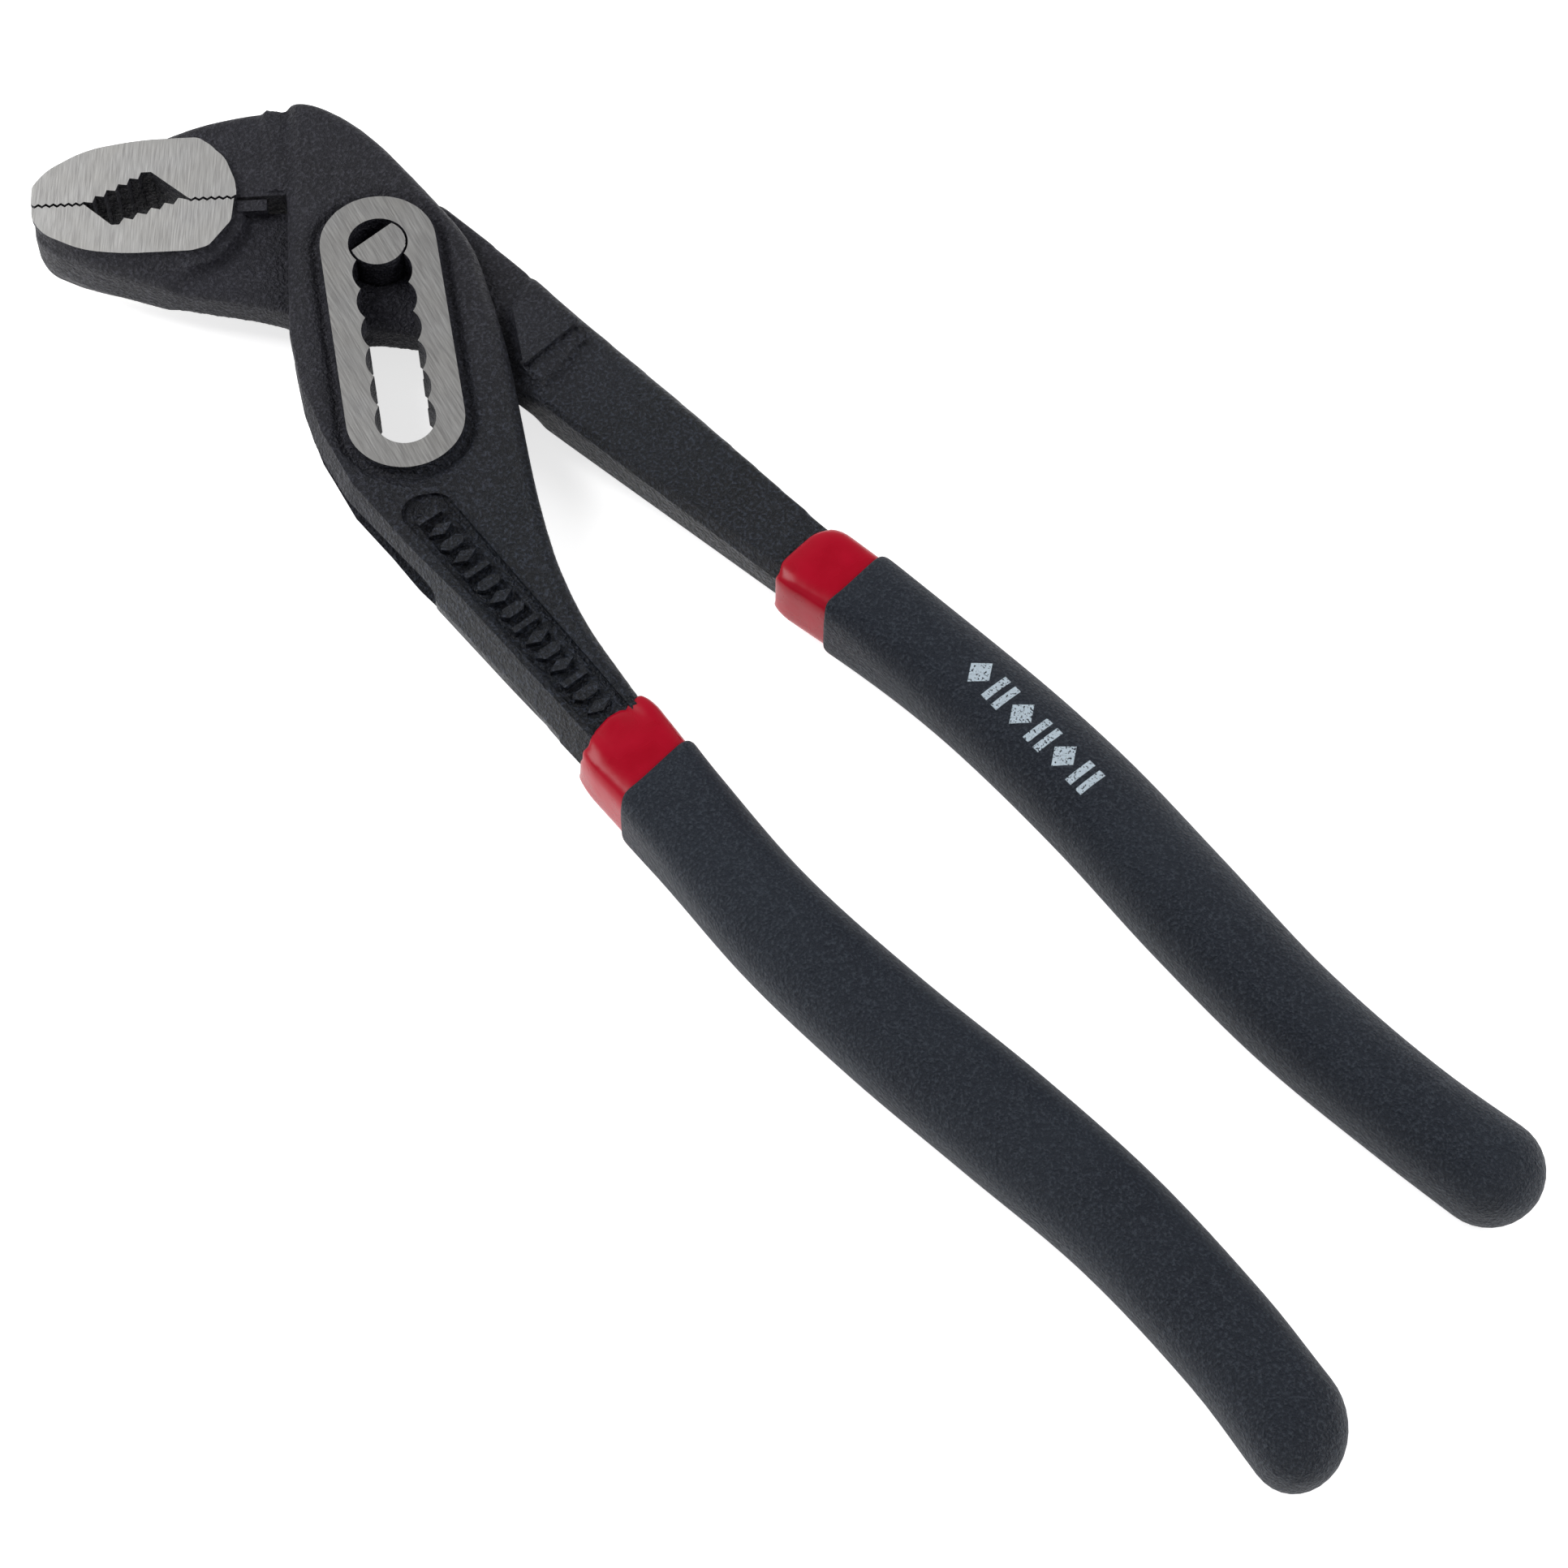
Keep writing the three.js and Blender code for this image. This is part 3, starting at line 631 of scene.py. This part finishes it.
def cheek_wedges():
    """The sloping strip along the front of the head and down its outer side, on both faces."""
    corners = [on_jaw(HEAD_FRONT, 30), on_jaw(HEAD_FRONT - 0.6, -12.9), on_slot(18, -13.5)]
    corners += [on_slot(TRAVEL, -12.7)]
    widths = [1.7, 2.0, 2.0, 1.2]
    drops = [1.3, 1.2, 1.1, 0.9]
    wedges = []
    for side in (1, -1):
        for i in range(len(corners) - 1):
            start, end = corners[i + 1], corners[i]
            halves = (cheek_half(start.x), cheek_half(end.x))
            slope = ((widths[i + 1], widths[i]), (drops[i + 1], drops[i]))
            wedges.append(edge_wedge(start, end, *slope, halves, side, out=3 if i else 0.3))
    return wedges


def neck_flanks():
    """The drafted flank along the outside of the neck, which leans in above and below the window."""
    corners = [on_slot(18, -13.5), on_slot(TRAVEL, -12.7), Vector((24.8, -31.7))]
    corners += [Vector((47.5, -34.8)), Vector((SLOPE_END, -39.4))]
    slopes = {1: [(0.8, 1.0), (1.5, 3.4), (1.6, 4.0), (1.7, 3.8), (1.8, 3.4)]}
    slopes[-1] = [(0.8, 1.0), (2.4, 5.4), (2.6, 6.0), (2.2, 5.0), (1.8, 3.8)]
    wedges = []
    for side, pairs in slopes.items():
        for i in range(len(corners) - 1):
            start, end = corners[i + 1], corners[i]
            halves = (cheek_half(start.x), cheek_half(end.x))
            widths, drops = zip(pairs[i + 1], pairs[i])
            wedges.append(edge_wedge(start, end, widths, drops, halves, side, out=1.5))
    return wedges


def neck_wedges():
    """The narrower slope down the inside of the head and the neck."""
    corners = [on_slot(4, 13.4), on_slot(18, 15.1), on_slot(TRAVEL + 13, 15.6)]
    corners += [Vector((53, -20.3)), Vector((62, -24.4)), Vector((SLOPE_END, -29.6))]
    wedges = []
    for side in (1, -1):
        for start, end in zip(corners, corners[1:]):
            halves = (cheek_half(start.x), cheek_half(end.x))
            wedges.append(edge_wedge(start, end, (1.4, 1.4), (1.0, 1.0), halves, side))
    return wedges


def shank_wedges(line, widths, drops):
    """The facets along a line down one edge of the shank, on both faces."""
    wedges = []
    for side in (1, -1):
        for start, end in zip(line, line[1:]):
            halves = (shank_half(start[0]), shank_half(end[0]))
            wedges.append(edge_wedge(Vector(start), Vector(end), widths, drops, halves, side))
    return wedges


SHANK_UPPER = [(17.6, 12.1), (26, 11.4), (50, 9.9), (SLOPE_END, 7.8)]
SHANK_LOWER = [(SLOPE_END, -2.9), (31, -2.9)]


def on_neck(corners, low, high, side):
    """A block over the neck's face, between two heights measured from that tapering face."""
    bm = prism(corners, 0, 1)
    for v in bm.verts:
        height = cheek_half(v.co.x / MM) + (low if v.co.z < 0.5 * MM else high)
        v.co.z = (MID + side * height) * MM
    bmesh.ops.recalc_face_normals(bm, faces=bm.faces)
    return bm


def neck_channel():
    """The channel that holds the row of marks, from the boss to the dip, in both faces."""
    corners = [((32.2, -26.2), 3), ((34.8, -22.9), 3), ((CHANNEL_END, -30.4), 0)]
    corners += [((CHANNEL_END, -36.5), 0), ((33, -29.6), 3)]
    return [on_neck(corners, -CHANNEL_DEPTH, 2, side) for side in (1, -1)]


def neck_ridge(start, end, rises, side):
    """A low roof along a line on the neck's face, with how far it rises from the face at each end."""
    rings = []
    for (x, y), rise in zip((start, end), rises):
        half = cheek_half(x)
        root, foot = half - 0.6, half - 0.05
        profile = ((-0.7, root), (-0.7, foot), (0, half + rise), (0.6, foot), (0.6, root))
        rings.append([(x, y + across, MID + side * height) for across, height in profile])
    return bridged(rings)


def neck_beads():
    """The raised lips along both sides of the channel, which sink away under the dip."""
    beads = []
    for side in (1, -1):
        beads.append(neck_ridge((35.6, -22.6), (CHANNEL_END, -30.1), (0.4, -0.3), side))
        beads.append(neck_ridge((34.2, -30.1), (CHANNEL_END, -36.8), (0.2, -0.3), side))
    return beads


def shank_pads():
    """The crisp raised face of the pad where the shank meets the head."""
    pad = [((19.9, 5.6), 1), ((23.3, 8.7), 1), ((28.6, 9.8), 1), ((28.1, -0.6), 1)]
    step = [((27, 9.6), 0), ((31.0, 8.6), 1), ((30.6, -1.2), 1), ((27, -0.3), 0)]
    blocks = []
    for corners, half in ((pad, PAD_HALF), (step, PAD_STEP_HALF)):
        blocks.append(prism(corners, MID + PAD_ROOT_HALF, MID + half))
        blocks.append(prism(corners, MID - half, MID - PAD_ROOT_HALF))
    return [merged(bmesh.new(), blocks[2:]), merged(bmesh.new(), blocks[:2])]


def heel_fill(side, start):
    """Brings the levers closer together behind the heels of the upper (1) or lower (-1) jaw."""
    near, far = JAW_RISE + side * HEEL_GAP / 2, JAW_RISE + side * 2.2
    spots = ((start, near), (JAW_HEEL + 1, near), (JAW_HEEL + 1, far), (start, far))
    return prism([(on_jaw(*spot), 0) for spot in spots], MID - HEEL_HALF, MID + HEEL_HALF)


def moats():
    """The grooves round the boss, one in each face of the cheeks."""
    rings = []
    for low, high in ((CHEEK_FACE - MOAT_DEPTH, TOP + 1), (-1, TOP - CHEEK_FACE + MOAT_DEPTH)):
        ring = piece_from(stadium(BOSS_RADIUS + MOAT_WIDTH, low, high), "moat")
        boolean(ring, "DIFFERENCE", [stadium(BOSS_RADIUS - 0.02, low - 1, high + 1)])
        bm = bmesh.new()
        bm.from_mesh(ring.data)
        bpy.data.objects.remove(ring)
        rings.append(bm)
    return rings


def neck_marks():
    """Plain raised shapes in a row along the channel of the neck: bars, lozenges and hexagons."""
    start, end = Vector((36.2, -27.0)), Vector((72.4, -32.8))
    run = (end - start).normalized()
    across = Vector((-run.y, run.x))
    shapes = (
        [(0.45, 1.9), (-0.45, 1.9), (-0.45, -1.9), (0.45, -1.9)],
        [(0.9, 0), (0, 1.9), (-0.9, 0), (0, -1.9)],
        [(0.8, 1.1), (0, 1.9), (-0.8, 1.1), (-0.8, -1.1), (0, -1.9), (0.8, -1.1)],
    )
    order = (0, 1, 2, 1, 0, 2, 1, 2, 0, 1, 2, 1, 0, 2, 1)
    marks = []
    for side in (1, -1):
        for i, picked in enumerate(order):
            centre = start.lerp(end, i / (len(order) - 1))
            corners = [(centre + run * u + across * v, 0) for u, v in shapes[picked]]
            marks.append(on_neck(corners, -CHANNEL_DEPTH - 0.6, 0, side))
    return marks


# Outlines of the ground jaw faces and of the ledge under the lower one: along and up the jaw, and the
# rounding of each corner.
UPPER_FACE = [
    (JAW_REACH, JAW_RISE - 2.5, 0),
    (JAW_REACH - 0.2, JAW_RISE + 3.2, 1),
    (JAW_REACH - 2, JAW_RISE + 5.9, 3),
    (JAW_REACH - 7.4, JAW_RISE + 9.3, 5),
    (JAW_REACH - 15, JAW_RISE + 10.6, 5),
    (JAW_HEEL + 5.2, JAW_RISE + 10.6, 1.5),
    (JAW_HEEL + 1.6, JAW_RISE + 6.9, 2),
    (JAW_HEEL + 0.2, JAW_RISE + 2.8, 1),
    (JAW_HEEL, JAW_RISE + 1, 0),
    (JAW_HEEL, JAW_RISE - 2.5, 0),
]
LOWER_FACE = [
    (JAW_REACH - 0.2, JAW_RISE + 2.5, 0),
    (JAW_REACH - 0.3, JAW_RISE - 2.2, 1.5),
    (JAW_REACH - 1.8, JAW_RISE - 5, 3),
    (JAW_REACH - 7.4, JAW_RISE - 8.1, 4),
    (JAW_REACH - 13, JAW_RISE - 9, 4),
    (JAW_HEEL + 6, JAW_RISE - 9, 1),
    (JAW_HEEL + 3.7, JAW_RISE - 8.3, 1),
    (JAW_HEEL + 0.7, JAW_RISE - 4.2, 1),
    (JAW_HEEL, JAW_RISE + 2.5, 0),
]
LOWER_LEDGE = [
    (JAW_REACH - 1.5, JAW_RISE + 2, 0),
    (JAW_REACH - 1.7, JAW_RISE - 5.2, 3),
    (JAW_REACH - 8, JAW_RISE - 9.4, 4),
    (JAW_REACH - 13, JAW_RISE - 10.7, 4),
    (JAW_HEEL + 5, JAW_RISE - 10.9, 3),
    (JAW_HEEL + 2, JAW_RISE - 9.5, 3),
    (JAW_HEEL - 1.2, JAW_RISE - 4.6, 2),
    (JAW_HEEL - 1.2, JAW_RISE - 1.4, 0),
]
LEDGE_HALF = 3.8


def jaw_blank(face, low=JAW_LOW - RAISE, high=JAW_HIGH + RAISE):
    return prism([(on_jaw(a, c), rounding) for a, c, rounding in face], low, high)


def jaw_plates(face):
    """Crisp edges round the ground faces of a jaw, a hair wider than the forging under them."""
    middle = sum((Vector((a, c)) for a, c, _ in face), Vector((0, 0))) / len(face)
    wider = []
    for a, c, rounding in face:
        spot = middle + (Vector((a, c)) - middle) * 1.012
        wider.append((min(spot.x, JAW_REACH), spot.y, rounding))
    return [
        jaw_blank(wider, JAW_LOW - RAISE / 2, JAW_LOW + RAISE),
        jaw_blank(wider, JAW_HIGH - RAISE, JAW_HIGH + RAISE / 2),
    ]


def roughed_out(node, middle, cuts):
    """A forging before it is ground: the part up to the mouth of its dip, with its slopes cut, and the
    plain core beyond it."""
    core = kept_side(copy_of(node), CORE_CUT - 3, 1)
    bm = tucked(kept_side(copy_of(node), CORE_CUT, -1), middle)
    rough = piece_from(bm, "rough", STEELS)
    boolean(rough, "DIFFERENCE", cuts)
    bm = bmesh.new()
    bm.from_mesh(rough.data)
    bpy.data.objects.remove(rough)
    lifted(bm, lambda co: True, TOP, 0)
    lifted(bm, lambda co: beyond(co, HEAD_FRONT + 3.5), JAW_HIGH, JAW_LOW)
    return bm, core


def outer_lever():
    bm, core = roughed_out("outer_lever", OUTER_MOUTH, cheek_wedges() + neck_wedges() + moats())
    blanks = [jaw_blank(UPPER_FACE)]
    for low, high in ((-RAISE, WINDOW_LOW), (WINDOW_HIGH, TOP + RAISE)):
        blanks.append(stadium(SEAT_RADIUS + 2, low, high))
    piece = softened(merged(bm, blanks), "outer_lever_forging", STEELS)
    boolean(piece, "UNION", [merged(bmesh.new(), neck_beads())])
    boolean(piece, "DIFFERENCE", neck_channel() + neck_flanks())
    boolean(piece, "UNION", jaw_plates(UPPER_FACE) + [heel_fill(1, HEAD_FRONT - 1)])
    boolean(piece, "UNION", [merged(bmesh.new(), neck_marks())])
    cuts = [block((-60, -60, TOP), (60, 30, TOP + 6), 1), block((-60, -60, -6), (60, 30, 0), 1)]
    cuts += jaw_grind() + [jaw_broach(1)]
    cuts += [cylinder(on_slot(i * SEAT_PITCH, 0), SEAT_RADIUS, -3, TOP + 3) for i in range(SEAT_COUNT)]
    boolean(piece, "DIFFERENCE", cuts)
    boolean(piece, "UNION", [core])
    return shaded(piece)


def inner_lever():
    cuts = shank_wedges(SHANK_UPPER, (1.0, 1.0), (0.8, 0.8))
    bm, core = roughed_out("inner_lever", INNER_MOUTH, cuts)
    blanks = [jaw_blank(LOWER_FACE), jaw_blank(LOWER_LEDGE, MID - LEDGE_HALF, MID + LEDGE_HALF)]
    piece = softened(merged(bm, blanks), "inner_lever_forging", STEELS)
    boolean(piece, "UNION", jaw_plates(LOWER_FACE) + [heel_fill(-1, HEAD_FRONT + 2.5)] + shank_pads())
    boolean(piece, "DIFFERENCE", jaw_grind() + [jaw_broach(-1)])
    boolean(piece, "DIFFERENCE", shank_wedges(SHANK_LOWER, (2.6, 0.5), (4.2, 0.8)))
    boolean(piece, "UNION", [core])
    return shaded(piece)


def pivot_pin():
    round_bar = cylinder((0, 0), PIN_RADIUS, 0, TOP, 1, 96)
    for face in round_bar.faces:
        face.material_index = 1 if abs(face.normal.z) > 0.5 else 0
    piece = piece_from(round_bar, "pivot_pin_turned", STEELS)
    turn = Matrix.Rotation(math.radians(PIN_FLAT_TURN), 4, "Z")
    cuts = []
    for low, high in ((-2, WINDOW_LOW), (WINDOW_HIGH, TOP + 2)):
        cut = block((-9, PIN_FLAT, low), (9, PIN_FLAT + 9, high), 0)
        bmesh.ops.transform(cut, matrix=turn, verts=cut.verts)
        cuts.append(cut)
    boolean(piece, "DIFFERENCE", cuts)
    bm = bmesh.new()
    bm.from_mesh(piece.data)
    rims = [e for e in bm.edges if e.calc_face_angle(0) > math.radians(40)]
    bmesh.ops.bevel(
        bm, geom=rims, offset=0.06 * MM, offset_type="OFFSET", affect="EDGES",
        segments=1, profile=0.5, material=-1,
    )
    bm.to_mesh(piece.data)
    bm.free()
    return shaded(piece, 20)


# ---------------------------------------------------------------- dips and grips
def run_of(values, end):
    """A smooth curve through even stations from the start of the core to the end of the handle."""

    def at(x):
        t = min(max((x - CORE_START) / (end - CORE_START), 0), 1) * (len(values) - 1)
        i = min(int(t), len(values) - 2)
        p = [values[min(max(j, 0), len(values) - 1)] for j in range(i - 1, i + 3)]
        f = t - i
        a, b = (p[2] - p[0]) / 2, (p[3] - p[1]) / 2
        cubed, squared = 2 * p[1] - 2 * p[2] + a + b, 3 * p[2] - 3 * p[1] - 2 * a - b
        return cubed * f**3 + squared * f**2 + a * f + p[1]

    return at


def boxiness(x):
    """The section's exponent: nearly a rectangle where the dip covers flat steel, rounder farther on."""
    t = min(max((x - BASE_START) / ROUNDING_RUN, 0), 1)
    return FLAT_EXPONENT + (ROUND_EXPONENT - FLAT_EXPONENT) * t * t * (3 - 2 * t)


def sleeve(name, handle, stations, wave, material):
    """A skin through rings along the handle, closed at a pole at each end. A station is how far along
    the handle, how far below the grip's surface, and how much of its width the ring keeps."""
    line, widths, end = handle
    centre, half_width = run_of(line, end), run_of(widths, end)
    half_thickness = run_of(HALF_THICKNESSES, end)
    bm = bmesh.new()
    turn_layer = bm.verts.layers.float.new("turn")
    made = bmesh.ops.create_circle(bm, segments=96, radius=1)
    for v in made["verts"]:
        v[turn_layer] = math.atan2(v.co.y, v.co.x)

    def place(verts, station):
        x, inset, share = station
        for v in verts:
            turn = v[turn_layer]
            power = boxiness(x)
            across = math.copysign(abs(math.cos(turn)) ** power, math.cos(turn))
            up = math.copysign(abs(math.sin(turn)) ** power, math.sin(turn))
            along, deeper = wave(turn, x) if share == 1 else (0, 0)
            wide, thick = half_width(x) - inset - deeper, half_thickness(x) - inset - deeper
            v.co = Vector((x + along, centre(x) + share * across * wide, MID + share * up * thick)) * MM

    ring = made["verts"]
    edges = [e for e in bm.edges]
    place(ring, stations[0])
    pole = [list(ring)]
    for station in stations[1:]:
        grown = bmesh.ops.extrude_edge_only(bm, edges=edges)["geom"]
        ring = [g for g in grown if isinstance(g, bmesh.types.BMVert)]
        edges = [g for g in grown if isinstance(g, bmesh.types.BMEdge) and all(v in ring for v in g.verts)]
        place(ring, station)
    pole.append(list(ring))
    for verts in pole:
        bmesh.ops.pointmerge(bm, verts=verts, merge_co=sum((v.co for v in verts), Vector()) / len(verts))
    bmesh.ops.recalc_face_normals(bm, faces=bm.faces)
    bm.verts.layers.float.remove(turn_layer)
    piece = piece_from(bm, name, [material])
    return shaded(piece, 60)


def end_stations(end, inset, reach, rounding, closing):
    """Stations round the end of a handle, from its side to the pole."""
    steps = 9
    found = []
    for i in range(1, steps + 1):
        turn = math.pi / 2 * i / steps
        found.append((end - reach - rounding * (1 - math.sin(turn)), inset, max(math.cos(turn), 0.001)))
    return found if closing else found[::-1]


def spaced(start, end, step):
    count = max(1, round((end - start) / step))
    return [start + (end - start) * i / count for i in range(count + 1)]


def grip(name, handle):
    end = handle[2]
    inner = GRIP_WALL + FIT / 2
    stations = end_stations(end, inner, 2 * GRIP_WALL, 5, False)
    stations += [(x, inner, 1) for x in reversed(spaced(GRIP_START + 0.6, end - 8, 4))]
    lip = [(0.2, inner - 0.04), (0.02, 0.4), (0.0, 0.28), (0.1, 0.14), (0.4, 0.04), (1.0, 0.0)]
    stations += [(GRIP_START + x, inset, 1) for x, inset in lip]
    stations += [(x, 0, 1) for x in spaced(GRIP_START + 2.5, end - 7, 2.5)]
    stations += end_stations(end, 0, 0, 7, True)

    def wave(turn, x):
        near = max(0, 1 - (x - GRIP_START) / 4)
        return 0.22 * math.sin(2 * turn + 0.6) * near + 0.12 * math.sin(5 * turn) * near, 0

    return sleeve(name, handle, stations, wave, BLACK)


def base_dip(name, handle, edge, hollow):
    end = handle[2]
    outer = GRIP_WALL + FIT
    inner = outer + BASE_WALL + FIT / 2
    stations = end_stations(end, inner, 5.9, 4, False)
    stations += [(x, inner, 1) for x in reversed(spaced(BASE_START + 0.9, end - 12, 5))]
    lip = [(0.35, inner - 0.02), (0.08, inner - 0.1), (0.0, outer + 0.72), (0.1, outer + 0.6)]
    lip += [(0.35, outer + 0.47), (0.8, outer + 0.34), (1.5, outer + 0.2), (2.4, outer + 0.08)]
    lip.append((3.4, outer + 0.01))
    stations += [(BASE_START + x, inset, 1) for x, inset in lip]
    stations += [(x, outer, 1) for x in spaced(BASE_START + 4.2, BASE_START + 12, 0.7)]
    stations += [(x, outer, 1) for x in spaced(BASE_START + 15, end - 9, 5)]
    stations += end_stations(end, outer, 2, 5, True)

    def wave(turn, x):
        near = max(0, 1 - (x - BASE_START) / 5)
        return edge(turn) * near, hollow(turn, x)

    return sleeve(name, handle, stations, wave, RED)


def outer_edge(turn):
    return 0.5 + 0.35 * math.sin(3 * turn + 0.4) + 0.2 * math.sin(7 * turn) - 0.15 * math.cos(turn)


def outer_hollow(turn, x):
    """The dip sags where it crosses the channel of the neck, on both faces, with a bead at its lip."""
    across = math.copysign(abs(math.cos(turn)) ** boxiness(x), math.cos(turn))
    fade = max(0, 1 - (x - BASE_START) / 5.5)
    spot = math.exp(-((across - 0.5) / 0.2) ** 2)
    bead = 0.7 * math.exp(-((across - 0.12) / 0.18) ** 2) * math.exp(-((x - BASE_START - 0.7) / 0.8) ** 2)
    fold = 0.2 * math.exp(-((across + 0.45) / 0.1) ** 2)
    return (0.9 * spot + fold) * fade - bead


def inner_edge(turn):
    return 1.5 + 0.55 * math.sin(turn + 2.4) + 0.35 * math.sin(3 * turn) + 0.15 * math.sin(6 * turn + 1)


def no_hollow(turn, x):
    return 0


# ---------------------------------------------------------------- the object
def fitted(piece, body, node):
    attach(piece, body)
    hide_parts(node)


OUTER_HANDLE = (OUTER_LINE, OUTER_HALF_WIDTHS, OUTER_END)
INNER_HANDLE = (INNER_LINE, INNER_HALF_WIDTHS, INNER_END)
outer_base = base_dip("outer_grip_base_dip", OUTER_HANDLE, outer_edge, outer_hollow)
inner_base = base_dip("inner_grip_base_dip", INNER_HANDLE, inner_edge, no_hollow)
fitted(outer_lever(), "outer", "outer_lever")
fitted(inner_lever(), "inner", "inner_lever")
fitted(pivot_pin(), "pin", "pivot_pin")
fitted(outer_base, "outer", "outer_grip_base")
fitted(inner_base, "inner", "inner_grip_base")
fitted(grip("outer_grip_sleeve", OUTER_HANDLE), "outer", "outer_grip")
fitted(grip("inner_grip_sleeve", INNER_HANDLE), "inner", "inner_grip")


# ---------------------------------------------------------------- floor, light and camera
def studio():
    bm = bmesh.new()
    bmesh.ops.create_grid(bm, x_segments=1, y_segments=1, size=3)
    floor_material = bpy.data.materials.new("pale_floor")
    tree, shader = graph_of(floor_material)
    shader.inputs["Base Color"].default_value = (0.8, 0.8, 0.8, 1)
    shader.inputs["Roughness"].default_value = 0.9
    shader.inputs["Emission Color"].default_value = (1, 1, 1, 1)
    shader.inputs["Emission Strength"].default_value = 0.72
    piece_from(bm, "floor", [floor_material])
    world = bpy.data.worlds.new("soft_room")
    bpy.context.scene.world = world
    world.use_nodes = True
    tree = world.node_tree
    background = tree.nodes["Background"]
    place = node(tree, "ShaderNodeTexCoord")
    split = node(tree, "ShaderNodeSeparateXYZ")
    tree.links.new(place.outputs["Generated"], split.inputs[0])
    height = spread(tree, split.outputs["Z"], 0.15, 0.85)
    tree.links.new(mixed(tree, height, (1.15, 1.15, 1.16), (0.42, 0.42, 0.43)), background.inputs["Color"])
    background.inputs["Strength"].default_value = 0.5
    for name, place, size, power in (
        ("key", (-0.55, -0.25, 0.55), 0.5, 6),
        ("fill", (0.55, 0.45, 0.5), 0.5, 3.5),
    ):
        data = bpy.data.lights.new(name, "AREA")
        data.size = size
        data.energy = power
        lamp = bpy.data.objects.new(name, data)
        lamp.location = place
        aim = Vector((0.09, -0.02, 0)) - Vector(place)
        lamp.rotation_euler = aim.to_track_quat("-Z", "Y").to_euler()
        bpy.context.scene.collection.objects.link(lamp)
    bpy.context.scene.view_settings.view_transform = "Standard"


def camera():
    data = bpy.data.cameras.new("camera")
    data.sensor_width = 36
    data.lens = 93.17
    data.clip_start = 0.01
    eye = bpy.data.objects.new("camera", data)
    turn, tilt, distance = math.radians(42), math.radians(30), 0.5128
    look = Vector((98.64, -26.43, 13.0)) * MM
    back = Vector((math.sin(turn) * math.sin(tilt), -math.cos(turn) * math.sin(tilt), math.cos(tilt)))
    right = Vector((math.cos(turn), math.sin(turn), 0))
    up = back.cross(right)
    facing = Matrix((right, up, back)).transposed().to_4x4()
    eye.matrix_world = Matrix.Translation(look + back * distance) @ facing
    bpy.context.scene.collection.objects.link(eye)
    bpy.context.scene.camera = eye


studio()
camera()
